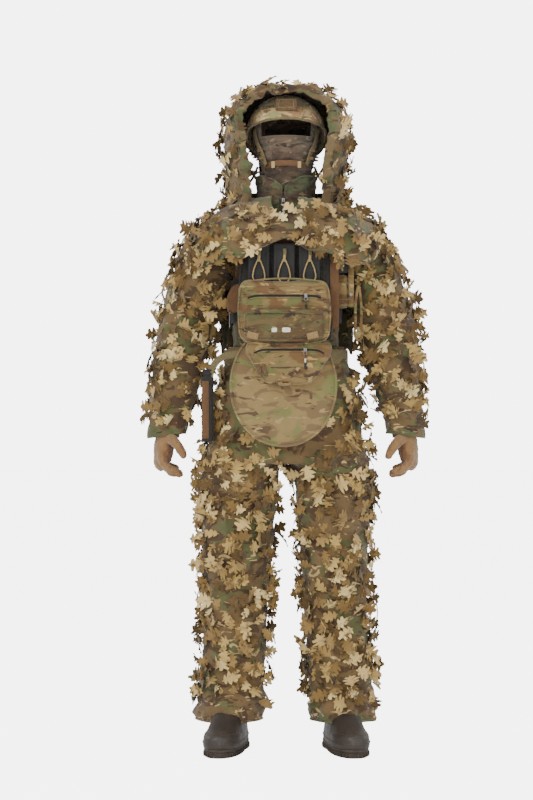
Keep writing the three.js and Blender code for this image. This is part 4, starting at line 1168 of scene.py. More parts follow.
def make_boots():
    for name, side in SIDES:
        turns = np.arange(72) * 2 * math.pi / 72
        heights = np.arange(0.026, 0.2051, 0.0045)
        grid = loft_grid(BOOT_RINGS, heights, turns, 2.5)
        y, z = grid[..., 1], grid[..., 2]
        waist = 1 - 0.14 * near(y, 0.03, 0.09) * (1 - rise(z, 0.05, 0.12)) - 0.06 * rise(y, 0.03, 0.12)
        grid[..., 0] *= waist
        lip = 0.0035 * rise(-y, 0.088, 0.094) * (1 - rise(z, 0.056, 0.064))
        rand = 0.002 * (1 - rise(z, 0.038, 0.042))
        grid += grid_normals(grid, True) * (lip + rand)[..., None]
        creases = lambda p: 0.0022 * near(p[:, 1], -0.055, 0.035) * rise(p[:, 2], 0.045, 0.07)
        grid = fold_grid(grid, True, (0.030, 0.0012, 31, (1, 1, 1)), (0.012, creases, 32, (0.3, 1.6, 1.4)))
        boot = grid_object("boot_" + name, onto_foot(grid, side), "boot_leather")
        if side < 0:
            boot.data.flip_normals()
        boot = wall(boot, 0.004)
        place(boot, "leg_" + name, "boot_leather", "boot_upper_" + name)
        seams = []
        for offset in (0.0, 0.0035):
            k = int(np.argmin(np.abs(heights - 0.0395 - offset * 0.3)))
            seams.append(onto_foot(grid[k][::1] * [1.012, 1.006, 1] + [0, 0, offset], side))
        lines = [(np.vstack([s, s[:1]]), unit(np.vstack([s, s[:1]]) - [side * BOOT_X, 0, 0.03])) for s in seams[:1]]
        arc = [grid[8, j] for j in range(72) if grid[6, j, 1] < -0.085]
        lines.append((onto_foot(np.array(arc) * [1.01, 1.01, 1.0], side), (0, -0.6, 0.8)))
        stitches = row("boot_stitches_" + name, lines, "stitch", 0.0042, "tan_webbing")
        place(stitches, "leg_" + name, "boot_leather")
        make_sole(name, side)


def make_sole(name, side):
    layers = ((0.0, -0.002), (0.003, 0.001), (0.013, 0.003), (0.0145, 0.0005), (0.0165, 0.0005),
              (0.018, 0.003), (0.024, 0.003), (0.0275, 0.0015), (0.0278, -0.004))
    rows = []
    for z, grow in layers:
        x, y = foot_outline(grow)
        rows.append(np.stack([x, y, np.full_like(x, z)], -1))
    grid = onto_foot(np.array(rows), side)
    sole = grid_object("sole_body", grid, "sole_rubber")
    work = bmesh.new()
    work.from_mesh(sole.data)
    work.verts.ensure_lookup_table()
    count = grid.shape[1]
    work.faces.new([work.verts[j] for j in range(count)])
    work.faces.new([work.verts[(len(rows) - 1) * count + j] for j in range(count)])
    bmesh.ops.recalc_face_normals(work, faces=work.faces)
    work.to_mesh(sole.data)
    work.free()
    x, y = foot_outline(0.0035)
    line = onto_foot(np.stack([x, y, np.full_like(x, 0.0085)], -1), side)
    away = unit(line - line.mean(0)) * [1, 1, 0]
    closed = np.vstack([line, line[:1]])
    lugs = row("lugs", [(closed, np.vstack([away, away[:1]]))], "rung", 0.011, "sole_rubber")
    sole = crisp(join("boot_tread_" + name, [sole, lugs]), 40)
    place(sole, "leg_" + name, "sole_rubber", "boot_sole_" + name)


LEAF_CORDS = {
    "right": ((-203, 4, 470), (-232, -14, 456), (-243, -20, 436), (-246, -22, 416),
              (-240, -18, 394), (-208, 6, 370)),
    "left": ((203, 4, 470), (232, -14, 450), (246, -22, 420), (252, -24, 384),
             (246, -18, 346), (212, 6, 312)),
}


def make_leaf_cords():
    for name, side in SIDES:
        line = path(np.array(LEAF_CORDS[name]) * MM, 0.006)
        cord = tube("leaf_cord_loop_" + name, line, 0.0015, "dark_cord", 0.006)
        place(cord, "leg_" + name, "elastic_cord", "leaf_cord_" + name)


# ---------------------------------------------------------------- sleeves and gloves


ARM_LINE = ((96, 1424), (150, 1428), (184, 1412), (214, 1370), (240, 1300), (283.2, 1163.4),
            (308, 1024), (332.7, 882.75))
ARM_RADII = (64, 66, 71, 75, 77, 76, 66, 53)
ARM_SPLIT = 1.235


def arm_grid(side, step=0.0065, around=56):
    """The whole sleeve, from inside the cape to the cuff."""
    line = np.array([(x, 30.0, z) for x, z in ARM_LINE]) * MM
    along = np.concatenate([[0], np.cumsum(np.linalg.norm(np.diff(line, axis=0), axis=1))])
    at = np.arange(0, along[-1] + step / 2, step)
    middle = through(along, line, at)
    radius = through(along, np.array(ARM_RADII)[:, None] * MM, at)[:, 0]
    way = tangents(middle)
    ahead = np.array([0.0, -1.0, 0.0])
    out = unit(np.cross(ahead, way))
    turns = np.arange(around) * 2 * math.pi / around
    grid = (middle[:, None] + radius[:, None, None] * (
        out[:, None] * np.cos(turns)[None, :, None] + ahead * np.sin(turns)[None, :, None] * 0.98))
    bunch = 0.006 + 0.006 * near(middle[:, 2], 1.165, 0.11) + 0.004 * near(middle[:, 2], 0.93, 0.08)
    amount = np.repeat(bunch, around)
    grid = fold_grid(grid[:, ::-1], True,
                     (0.075, amount, 41 + side, (1.0, 1.0, 1.5)),
                     (0.032, amount * 0.35, 43 + side, (1.0, 1.0, 1.6)))
    grid[..., 0] *= side
    return grid if side > 0 else grid[:, ::-1], middle


def sleeve_cover(points):
    z = points[:, 2]
    return rise(z, 0.905, 0.935) * (1 - 0.4 * near(np.abs(points[:, 0]), 0.165, 0.05))


def make_sleeves():
    for name, side in SIDES:
        grid, middle = arm_grid(side)
        split = int(np.argmin(np.abs(middle[:, 2] - ARM_SPLIT) + (middle[:, 0] < 0.2)))
        shoulder = (side * 0.196, BODY_Y, 1.44)
        upper_bend = ("upper_arm_" + name, (side * 0.13, BODY_Y, 1.47), (side * 0.226, BODY_Y, 1.372))
        lower_bend = ("forearm_" + name, (side * 0.264, BODY_Y, 1.226), (side * 0.296, BODY_Y, 1.09))
        for key, rows, body, bend, nodes in (
            ("sleeve_upper_", grid[: split + 1], "trunk", upper_bend, ["upper_sleeve_" + name]),
            ("sleeve_lower_", grid[split:], "upper_arm_" + name, lower_bend,
             ["forearm_sleeve_" + name]),
        ):
            cloth = grid_object(key + name, rows, "suit_cloth")
            if np.dot(normals_of(cloth)[5], rows[0, 5] - rows[0].mean(0)) < 0:
                cloth.data.flip_normals()
            leaves = leaves_on(key + "leaves_" + name, cloth, sleeve_cover, 51 + side + split % 7)
            place(leaves, body, "leaf_cloth", bend=bend)
            place(wall(cloth, cloth_thickness()), body, "leaf_cloth", *nodes, bend=bend)
        make_cuff(name, side, grid[-1])


def make_cuff(name, side, ring):
    """The gathered end of the sleeve, hanging over the wrist."""
    middle = ring.mean(0)
    way = np.array([side * math.sin(math.radians(10)), 0, -math.cos(math.radians(10))])
    lean = 1 + 0.85 * np.clip((ring[:, :1] - middle[0]) * side / 0.05, -1, 1)
    rows = []
    for drop, size in ((-6, 1.0), (0, 1.03), (6, 1.04), (13, 1.02), (18, 0.97)):
        rows.append(middle + (ring - middle) * size + way * drop * MM * (lean if drop > 0 else 1))
    cuff = grid_object("cuff_" + name, np.array(rows), "hood_cloth")
    if np.dot(normals_of(cuff)[5], rows[1][5] - middle) < 0:
        cuff.data.flip_normals()
    place(wall(cuff, cloth_thickness()), "forearm_" + name, "leaf_cloth")


WRIST = {"right": (-0.3327, BODY_Y, 0.88275), "left": (0.3327, BODY_Y, 0.88275)}
FINGER_ROOTS = ((-31, 0), (-10.5, 8), (10, 5), (30, -6))


def hand_place(points, name, side):
    """From a right-angled hand at its wrist to the tilted one; x runs inwards to the body."""
    points = np.asarray(points, float) * MM
    tilt = math.radians(10)
    c, s = math.cos(tilt), math.sin(tilt)
    x = side * (points[..., 0] * c - points[..., 2] * s)
    z = points[..., 0] * s + points[..., 2] * c
    return np.stack([x, points[..., 1], z], -1) + np.array(WRIST[name])


def make_gloves():
    for name, side in SIDES:
        parts = []
        palm = ((0, 0, 34), (0, 0, 8), (0, 0, -20), (-2, 1, -55), (-3, 0, -84))
        parts.append(blob("palm", hand_place(palm, name, side), np.array((33, 36, 33, 33, 29)) * MM,
                          "suede", 20, (1.22, 0.84)))
        for y, reach in FINGER_ROOTS:
            tip = -112 - reach
            spots = ((0, y * 0.9, -58), (-1, y * 1.1, -76), (-12, y * 1.15, -92),
                     (-32, y * 1.1, tip + 9), (-50 - reach, y, tip + 8))
            parts.append(blob("finger", hand_place(spots, name, side),
                              np.array((12.5, 12.0, 11.5, 11.0, 9.5)) * MM, "suede", 12))
        thumb = ((-4, -22, -8), (-24, -42, -22), (-44, -50, -38), (-60, -46, -58))
        parts.append(blob("thumb", hand_place(thumb, name, side),
                          np.array((16, 15, 13.5, 11)) * MM, "suede", 12))
        glove = union("glove_skin_" + name, parts, 0.0032, "suede", 3)
        fold_mesh(glove, (0.022, 0.0022, 61, (1, 1, 1.6)), (0.010, 0.0008, 62, (1, 1, 1.8)))
        glove.data.materials.append(bpy.data.materials["suede_palm"])
        wrist = np.array(WRIST[name])
        for face in glove.data.polygons:
            inward = face.normal.x * -side
            if inward > 0.35 and face.center.z < wrist[2] - 0.03:
                face.material_index = 1
        place(glove, "hand_" + name, "suede", "glove_" + name)
        band = hand_place([(37.5 * math.cos(t), 38.5 * math.sin(t), -4 + 2 * math.sin(t))
                           for t in np.linspace(0, 2 * math.pi, 28, endpoint=False)], name, side)
        cuff = strap("glove_band_" + name, band, unit(band - band.mean(0)), 0.018, 0.0024,
                     "suede_palm", 0.006, closed=True)
        place(cuff, "hand_" + name, "suede")


# ---------------------------------------------------------------- shirt, collar, cape


SHIRT = ((1116, 150, 99, 0, 30), (1200, 149, 108, 0, 30), (1330, 150, 111, 0, 30),
         (1400, 150, 107, 0, 30), (1448, 136, 91, 0, 30), (1482, 96, 77, 0, 30),
         (1500, 83, 74, 0, 28))
COLLAR = ((1496, 80, 77, 0, 26), (1520, 80, 79, 0, 24), (1545, 81, 84, 0, 21),
          (1570, 84, 90, 0, 17), (1584, 86, 92, 0, 16))
CAPE = ((1340, 250, 182, 0, 20), (1390, 252, 183, 0, 21), (1430, 246, 180, 0, 23),
        (1462, 224, 164, 0, 25), (1490, 186, 140, 0, 26), (1510, 142, 114, 0, 26),
        (1524, 108, 98, 0, 26))
CAPE_BACK = ((1090, 186, 172, 0, 26), (1220, 193, 176, 0, 24), (1370, 206, 178, 0, 22))
ZIP_X = -0.008


def around(count, start=0.0, end=2 * math.pi, closed=True):
    return np.linspace(start, end, count, endpoint=not closed)


def make_shirt():
    turns = around(110)
    grid = loft_grid(SHIRT, np.arange(1.1165, 1.4996, 0.0075), turns, 2.3)
    grid = fold_grid(grid, True, (0.07, 0.005, 71, (1.0, 1.0, 1.4)), (0.03, 0.0018, 72, (1, 1, 1.5)))
    grid -= grid_normals(grid, True) * 0.003
    shirt = wall(grid_object("shirt_cloth", grid, "hood_cloth"), 0.002)
    place(shirt, "trunk", "leaf_cloth", "shirt")


def make_collar():
    gap = 0.06
    turns = np.linspace(-math.pi / 2 + gap, 1.5 * math.pi - gap, 120)
    open_front = near(np.abs((turns + math.pi / 2 + math.pi) % (2 * math.pi) - math.pi), 0, 0.9)
    heights = np.linspace(1.494, 1.584, 20)[:, None] * np.ones(len(turns))[None, :]
    share = np.linspace(0, 1, 20)[:, None]
    heights = heights - 0.036 * open_front[None, :] ** 2 * share
    grid = loft_grid(COLLAR, heights, turns, 2.0)
    grid[..., 0] += ZIP_X * near(grid[..., 1], -0.06, 0.05)
    grid = fold_grid(grid, False, (0.034, 0.0055, 81, (0.7, 0.7, 1.9)), (0.014, 0.0015, 82, (1, 1, 1.6)))
    collar = grid_object("collar_cloth", grid, "collar_cloth", closed=False)
    edge = np.vstack([grid[:, 0], grid[-1, 1:-1], grid[::-1, -1]])
    collar = wall(collar, 0.003)
    hem = tube("collar_hem", edge[::2], 0.0026, "collar_cloth", 0.006)
    gorget = loft_grid(((1484, 84, 84, 0, 22), (1500, 80, 80, 0, 24), (1528, 76, 76, 0, 23)),
                       np.linspace(1.484, 1.528, 9), around(90), 2.0)
    gorget = fold_grid(gorget, True, (0.03, 0.004, 83, (0.8, 0.8, 2.0)))
    gorget -= grid_normals(gorget, True) * 0.004
    under = wall(grid_object("collar_under", gorget, "collar_cloth"), 0.002)
    place(join("collar_piece", [collar, hem, under]), "trunk", "leaf_cloth", "collar")
    tape_line = [(ZIP_X - 0.0005, -0.0512, 1.538), (ZIP_X - 0.0005, -0.0545, 1.515),
                 (ZIP_X, -0.0595, 1.492), (ZIP_X, -0.074, 1.474)]
    tape = strap("collar_zip_tape", tape_line, FRONT, 0.022, 0.002, "dark_webbing")
    teeth = row("collar_zip_teeth", [(path(np.array(tape_line) + [0, -0.0014, 0], 0.004), (0, -1, 0.3))],
                "tooth", 0.0026, "steel")
    place(tape, "trunk", "dark_webbing")
    place(teeth, "trunk", "steel")


def cape_edges(turns):
    """The cape's hem and neck heights round the body."""
    c, s = np.cos(turns), np.sin(turns)
    x = 0.25 * np.sign(c) * np.abs(c) ** 0.8
    front = rise(-s, 0.05, 0.45)
    back = rise(s, 0.0, 0.5)
    hem = 1.398 * (1 - front - back) + front * (1.400 - 0.30 * np.minimum(np.abs(x), 0.2)) + back * 1.345
    ripple = 0.006 * np.sin(turns * 11 + 1.0) + 0.004 * np.sin(turns * 23)
    throat = near(x, ZIP_X, 0.075) * (s < 0)
    return hem + ripple, 1.524 - 0.062 * throat


def cape_cover(points):
    x, y, z = points.T
    collar = rise(z, 1.470, 1.492)
    middle = near(x, ZIP_X, 0.06) * (y < 0)
    return (1 - 0.75 * collar) * (1 - 0.8 * middle)


def make_cape():
    turns = around(168, -math.pi / 2, 1.5 * math.pi)
    low, high = cape_edges(turns)
    share = np.linspace(0, 1, 30)[:, None]
    grid = loft_grid(CAPE, low + (high - low) * share, turns, 2.7)
    drape = lambda p: 0.006 + 0.006 * (1 - rise(p[:, 2], 1.40, 1.49))
    grid = fold_grid(grid, True, (0.085, drape, 91, (1.5, 1.0, 0.45)), (0.036, 0.003, 92, (1.2, 1, 0.8)))
    cloth = grid_object("cape_cloth", grid, "suit_cloth")
    leaves = leaves_on("cape_leaves", cloth, cape_cover, 95)
    hem = tube("cape_hem", grid[0][::2], 0.0035, "hood_cloth", 0.008, closed=True)
    whole = join("cape_whole", [wall(cloth, 0.003), hem])
    # the sides are cut apart from the middle, which stays on the shoulders
    for source, slot_nodes in ((whole, ["cape_yoke"]), (leaves, [])):
        for name, side in SIDES:
            part = cut(copy_of(source, f"{source.name}_{name}"), (side * 0.112, 0, 0), (-side, 0, 0))
            bend = ("upper_arm_" + name, (side * 0.115, BODY_Y, 1.45), (side * 0.262, BODY_Y, 1.38))
            place(part, "trunk", "leaf_cloth", bend=bend)
        middle = cut(copy_of(source, source.name + "_middle"), (0.112, 0, 0), (1, 0, 0))
        cut(middle, (-0.112, 0, 0), (-1, 0, 0))
        place(middle, "trunk", "leaf_cloth", *slot_nodes)
        bpy.data.objects.remove(source)


def make_cape_back():
    turns = np.linspace(0.30, math.pi - 0.30, 84)
    ripple = 0.010 * np.abs(np.sin(turns * 9)) + 0.006 * np.sin(turns * 17)
    heights = 1.098 + ripple + (1.372 - 1.098 - ripple) * np.linspace(0, 1, 40)[:, None]
    grid = loft_grid(CAPE_BACK, heights, turns, 2.9)
    drape = lambda p: 0.003 + 0.005 * (1 - rise(p[:, 2], 1.10, 1.30))
    grid = fold_grid(grid, False, (0.10, drape, 96, (1.3, 1.0, 0.3)), (0.05, 0.0015, 97, (1.2, 1, 0.7)))
    cloth = grid_object("cape_back_cloth", grid, "suit_cloth", closed=False)
    leaves = leaves_on("cape_back_leaves", cloth, lambda p: rise(p[:, 2], 1.11, 1.13), 98)
    place(leaves, "trunk", "leaf_cloth")
    cloth = place(wall(cloth, 0.003), "trunk", "leaf_cloth", "cape_back")


# ---------------------------------------------------------------- hood, mask, helmet


HOOD = ((1486, 152, 130, 0, 45), (1528, 158, 134, 0, 42), (1600, 166, 144, 0, 32),
        (1700, 170, 156, 0, 24), (1750, 160, 158, 0, 19), (1785, 141, 152, 0, 15),
        (1808, 112, 134, 0, 12), (1824, 72, 96, 0, 12), (1832, 22, 30, 0, 12))
MOUTH_TOP = 1.818


def mouth_half(z):
    """Half the width of the face opening at a height."""
    arch = np.sqrt(np.clip(1 - np.clip((z - 1.73) / (MOUTH_TOP - 1.73), 0, 1) ** 2.4, 0, 1))
    return (0.110 + 0.018 * rise(z, 1.56, 1.74)) * arch


def hood_cover(points):
    x, y, z = points.T
    top = rise(z, 1.70, 1.80)
    front = rise(-y, 0.02, 0.09)
    return np.clip(1.0 - 0.12 * front * (1 - top), 0, 1)


def make_hood():
    heights = np.concatenate([np.arange(1.487, 1.80, 0.0075), np.linspace(1.800, 1.8319, 14)])
    rows, cols = [], 132
    rings = np.array(HOOD, float) * MM
    for z in heights:
        rx, ry, cx, cy = through(rings[:, 0], rings[:, 1:], [z])[0]
        share = min(1.0, float(mouth_half(z)) / rx)
        gap = math.asin(share ** (2.2 / 2)) if z < MOUTH_TOP else 0.0
        turns = np.linspace(-math.pi / 2 + gap, 1.5 * math.pi - gap, cols)
        x, y = superellipse(rx, ry, turns, 2.2)
        rows.append(np.stack([cx + x, cy + y, np.full(cols, z)], -1))
    grid = np.array(rows)
    soft = lambda p: 0.005 + 0.004 * rise(-p[:, 1], 0.0, 0.1)
    grid = fold_grid(grid, False, (0.075, soft, 101, (1.0, 1.0, 0.8)), (0.032, 0.003, 102, (1, 1, 1.3)))
    top = heights > MOUTH_TOP
    seam = (grid[top, 0] + grid[top, -1]) / 2
    grid[top, 0] = grid[top, -1] = seam
    grid[..., 2] = np.minimum(grid[..., 2], 1.842)
    slots = lambda p: not (p[1] > 0.04 and 0.076 < abs(p[0]) < 0.124 and 1.552 < p[2] < 1.680)
    cloth = weld(grid_object("hood_cloth_shell", grid, "hood_cloth", closed=False, keep=slots))
    leaves = leaves_on("hood_leaves", cloth, hood_cover, 105, (0.1, 0.8), (0.7, 1.1))
    place(leaves, "hood", "leaf_cloth")
    mouth = int(np.searchsorted(heights, MOUTH_TOP))
    edge = np.vstack([grid[:mouth, 0], grid[mouth - 1 : mouth, -1], grid[:mouth, -1][::-1]])
    place(wall(cloth, 0.004), "hood", "leaf_cloth", "hood")
    make_brim(edge)


def make_brim(edge):
    """The rolled, gathered cloth edge of the face opening, with its cord."""
    line = path(edge[::3], 0.006)
    way = tangents(line)
    wobble = np.array([noise.noise(Vector((k * 0.16, 0.7, 0))) for k in range(len(line))])
    line = line + np.stack([0 * wobble, -0.004 + 0.006 * wobble, 0.004 * np.roll(wobble, 9)], -1)
    out = unit(np.cross(way, np.array([0.0, -1.0, 0.0])))
    ahead = np.cross(out, way)
    sides, points = 14, []
    for k, (p, o, a) in enumerate(zip(line, out, ahead)):
        size = 0.0062 + 0.0032 * wobble[(k * 3) % len(wobble)]
        for j in range(sides):
            t = j * 2 * math.pi / sides
            points.append(p + size * (o * math.cos(t) * 1.9 + a * math.sin(t) * 0.7))
    n = len(line)
    faces = [(i * sides + j, i * sides + (j + 1) % sides, (i + 1) * sides + (j + 1) % sides,
              (i + 1) * sides + j) for i in range(n - 1) for j in range(sides)]
    faces += [list(range(sides))[::-1], [(n - 1) * sides + j for j in range(sides)]]
    brim = weld(new_object("hood_edge_roll", points, faces, "hood_cloth"), outwards=True)
    fold_mesh(brim, (0.050, 0.010, 113, (1, 0.4, 1)), (0.024, 0.004, 111, (1, 1, 1)),
              (0.010, 0.0012, 112, (1, 1, 1)))
    ties = []
    for side in (-1, 1):
        for start, end in (((0.118, 0.020, 1.640), (0.070, -0.045, 1.566)),
                           ((0.112, 0.010, 1.560), (0.078, -0.020, 1.612))):
            spots = [np.array(start), (np.array(start) + end) / 2 + [0, 0, -0.008], np.array(end)]
            ties.append(strap("tie", np.array(spots) * [side, 1, 1], (side * 0.3, -1, 0), 0.007,
                              0.0016, "dark_cord", 0.006))
    place(join("hood_edge_sewn", [brim] + ties), "hood", "leaf_cloth", "hood_brim")


MASK = ((1500, 75, 72, 0, 26), (1535, 66, 67, 0, 24), (1575, 65, 72, 0, 18), (1606, 69, 86, 0, 9),
        (1645, 79, 97, 0, 12), (1700, 86, 103, 0, 18), (1750, 83, 99, 0, 20), (1780, 63, 77, 0, 20),
        (1792, 34, 42, 0, 20), (1796, 8, 10, 0, 20))
EYES = (1.690, 1.748)


def make_mask():
    """The face covering: folded knit below the eyes, a plain band over them."""
    turns = around(128)
    heights = np.concatenate([np.arange(1.501, 1.688, 0.0045), [1.690], np.arange(1.6945, 1.7445, 0.0055),
                              [1.748], np.arange(1.753, 1.788, 0.006), np.linspace(1.789, 1.7959, 6)])
    grid = loft_grid(MASK, heights, turns, 2.0)
    bagging = lambda p: 0.009 * (1 - rise(p[:, 2], 1.672, 1.690)) + 0.0014
    grid = fold_grid(grid, True, (0.040, bagging, 121, (0.45, 0.6, 2.3)),
                     (0.018, lambda p: 0.3 * bagging(p), 122, (0.5, 0.7, 2.4)))
    wander = 0.010 * np.sin(2 * turns + 0.6) + 0.005 * np.sin(5 * turns)
    wave = np.sin((heights[:, None] + wander) * 2 * math.pi / 0.021)
    fade = rise(heights, 1.54, 1.58) * (1 - rise(heights, 1.672, 1.688))
    grid += grid_normals(grid, True) * (0.0026 * wave * fade[:, None])[..., None]
    slit = lambda p: not (EYES[0] < p[2] < EYES[1] and p[1] < 0 and abs(p[0]) < 0.070)
    cloth = grid_object("mask_cloth", grid, "mask_knit", keep=slit)
    cap = len(heights) - 1
    work = bmesh.new()
    work.from_mesh(cloth.data)
    work.verts.ensure_lookup_table()
    work.faces.new([work.verts[cap * 128 + j] for j in range(128)])
    work.to_mesh(cloth.data)
    work.free()
    cloth = wall(cloth, 0.002)
    low = int(np.argmin(np.abs(heights - EYES[0])))
    high = int(np.argmin(np.abs(heights - EYES[1])))
    side = [j for j in range(128) if grid[low, j, 1] < 0 and abs(grid[low, j, 0]) < 0.072]
    ring = np.vstack([grid[low, side], grid[low + 1 : high, side[-1]], grid[high, side[::-1]],
                      grid[low + 1 : high, side[0]][::-1]])
    hem = tube("eye_hem", ring[::2], 0.0024, "mask_knit", 0.005, closed=True)
    place(join("mask_piece", [cloth, hem]), "trunk", "mask_knit", "balaclava")


HELMET_MIDDLE = np.array([0, 18, 1694]) * MM
HELMET_SIZE = np.array([114, 134, 120]) * MM


def rim_height(y):
    """The rim is a plane: high over the brow, low at the nape, dipping over the ears."""
    return 1.730 - 0.086 * rise(y, -0.03, 0.15)


def make_helmet():
    cols, rows = 120, 44
    turns = around(cols)
    points = np.empty((rows, cols, 3))
    for j, t in enumerate(turns):
        c, s = math.cos(t), math.sin(t)
        y_edge = HELMET_MIDDLE[1] + HELMET_SIZE[1] * s
        rim = rim_height(y_edge) - 0.012 * near(c * c, 1, 0.6) + 0.006 * near(s, -1, 0.25)
        low = math.asin(max(-0.95, min(0.9, (rim - HELMET_MIDDLE[2]) / HELMET_SIZE[2])))
        for i, up in enumerate(np.linspace(low, math.pi / 2, rows)):
            flat = math.cos(up) ** 0.92
            points[i, j] = HELMET_MIDDLE + HELMET_SIZE * [c * flat, s * flat, math.sin(up)]
    across = grid_normals(points, True)
    x, y, z = points[..., 0], points[..., 1], points[..., 2]
    seam = near(np.abs(x), 0.048, 0.0035) * (z > 1.765) * 0.0016
    band_seam = near(z - (1.772 - 0.10 * (y + 0.1) * 0.5), 0, 0.004) * (y < -0.02) * 0.0014
    crease = crumple(points.reshape(-1, 3), 0.03, 131).reshape(rows, cols) * 0.0009
    points = points - across * (0.001 + seam + band_seam - crease)[..., None]
    # the cover's cloth holds painted light: its print is lightened for sun on the brow
    shell = weld(grid_object("helmet_cover", points, "helmet_cloth"))
    shell = wall(shell, 0.007)
    rim = tube("helmet_rim", points[0][::2], 0.0032, "olive_webbing", 0.006, closed=True)
    lines = []
    for x_at in (-0.045, 0.045):
        front = [points[i, int(np.argmin(np.abs(points[i, :, 0] - x_at) + (points[i, :, 1] > 0)))]
                 for i in range(rows) if points[i, :, 0].max() > 0.05]
        lines.append((path(np.array(front)[1:-1] * [1, 1.004, 1.0], 0.006), (0, -1, 0.7)))
    stitches = row("helmet_stitches", lines, "stitch", 0.0038, "tan_webbing")
    place(join("helmet_cover_piece", [shell, rim, stitches]), "trunk", "camo_cloth", "helmet_shell")

    lo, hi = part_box("helmet_mount")
    plate = cushion("mount_plate", (lo.x, -0.1045, lo.z - 0.002), (hi.x, -0.062, hi.z + 0.002),
                    0.005, "brown_webbing", 0.004)
    moved = points_of(plate)
    moved[:, 1] += (moved[:, 2] - 1.776) * 0.42 + 0.006
    set_points(plate, moved)
    frame_line = [(-0.021, -0.1035, 1.766), (0.021, -0.1035, 1.766), (0.019, -0.0925, 1.788),
                  (-0.019, -0.0925, 1.788)]
    frame_line = np.vstack([np.linspace(a, b, 9)[:-1] for a, b in
                            zip(frame_line, frame_line[1:] + frame_line[:1])])
    border = tube("mount_border", frame_line, 0.0017, "olive_webbing", 0.003, closed=True)
    ends = []
    for side in (-1, 1):
        line = [(side * 0.029, -0.094, 1.777), (side * 0.046, -0.086, 1.776), (side * 0.062, -0.075, 1.773)]
        ends.append(strap("bungee_end", line, (side * 0.3, -1, 0.35), 0.010, 0.004, "dark_cord", 0.004))
    place(join("helmet_mount_piece", [plate, border] + ends), "trunk", "black_polymer", "helmet_mount")

    pads = []
    for k, t in enumerate(np.linspace(0, 2 * math.pi, 7, endpoint=False) - math.pi / 2):
        c, s = math.cos(t), math.sin(t)
        middle = np.array([0.080 * c, 0.018 + (0.092 + 0.011 * s) * s, 1.742 - 0.030 * s])
        pad = cushion("pad", (-0.028, -0.007, -0.017), (0.028, 0.007, 0.017), 0.006, "dark_webbing", 0.005)
        p = points_of(pad)
        out, side_way = np.array([c, s, 0.12]), np.array([-s, c, 0])
        set_points(pad, middle + p[:, 0:1] * side_way + p[:, 1:2] * out + p[:, 2:3] * [0, 0, 1])
        pads.append(pad)
    pads = place(weld(join("helmet_pads", pads), outwards=True), "trunk", "dark_webbing", "helmet_liner")
    make_chin_straps()


def make_chin_straps():
    for name, side in SIDES:
        line = np.array(((88, -20, 1716), (84, -34, 1690), (76, -52, 1664), (66, -62, 1642),
                         (60, -66, 1622), (56, -70, 1612))) * MM * [side, 1, 1]
        rear = np.array(((92, 36, 1690), (84, 16, 1668), (74, -22, 1640), (66, -52, 1626))) * MM * [side, 1, 1]
        out = (side * 0.8, -0.6, 0.0)
        parts = [strap("strap_front", line, out, 0.015, 0.0016, "olive_webbing", 0.005),
                 strap("strap_rear", rear, (side, -0.25, 0), 0.013, 0.0016, "olive_webbing", 0.005)]
        for k, height in enumerate((1.652, 1.630)):
            middle = np.array([side * (0.0715 - 0.005 * k), -0.0600 - 0.006 * k, height])
            low, high = middle - [0.0085, 0.002, 0.0045], middle + [0.0085, 0.002, 0.0045]
            parts.append(cushion("ladder", low, high, 0.0012, "brown_webbing", 0.002))
        place(join("chin_strap_piece_" + name, parts), "trunk", "tan_webbing", "chin_strap_" + name)
    turns = np.linspace(-2.95, -0.19, 25)
    cup = [(0.0685 * math.cos(t), 0.004 + 0.093 * math.sin(t), 1.613 - 0.003 * math.cos(2 * t)) for t in turns]
    facing = [(math.cos(t), math.sin(t), 0) for t in turns]
    band = strap("chin_band", cup, facing, 0.016, 0.0026, "tan_webbing", 0.005)
    tabs = []
    for x in (-0.036, 0.036):
        at = np.array([x, -0.0795, 1.612])
        tabs.append(cushion("cup_buckle", at - [0.005, 0.002, 0.0095], at + [0.005, 0.002, 0.0095],
                            0.001, "tan_polymer", 0.002))
    place(join("chin_band_piece", [band] + tabs), "trunk", "tan_webbing", "chin_cup")


# ---------------------------------------------------------------- rig and pouches


def rounded_line(x0, x1, z0, z1, r, y, step=0.006):
    """A rounded rectangle in the x-z plane, as a closed line."""
    corners = []
    for cx, cz, start in ((x1 - r, z0 + r, -90), (x1 - r, z1 - r, 0), (x0 + r, z1 - r, 90),
                          (x0 + r, z0 + r, 180)):
        for k in range(6):
            t = math.radians(start + 18 * k)
            corners.append((cx + r * math.cos(t), y, cz + r * math.sin(t)))
    return np.array(corners)


def flat_row(x0, x1, z, y, step=0.004):
    count = max(3, int((x1 - x0) / step))
    return np.stack([np.linspace(x0, x1, count), np.full(count, y), np.full(count, z)], -1)


def stitch_step():
    return bpy.context.scene.suit_gear.stitch_spacing


def rings_closed(line):
    return np.vstack([line, line[:1]])


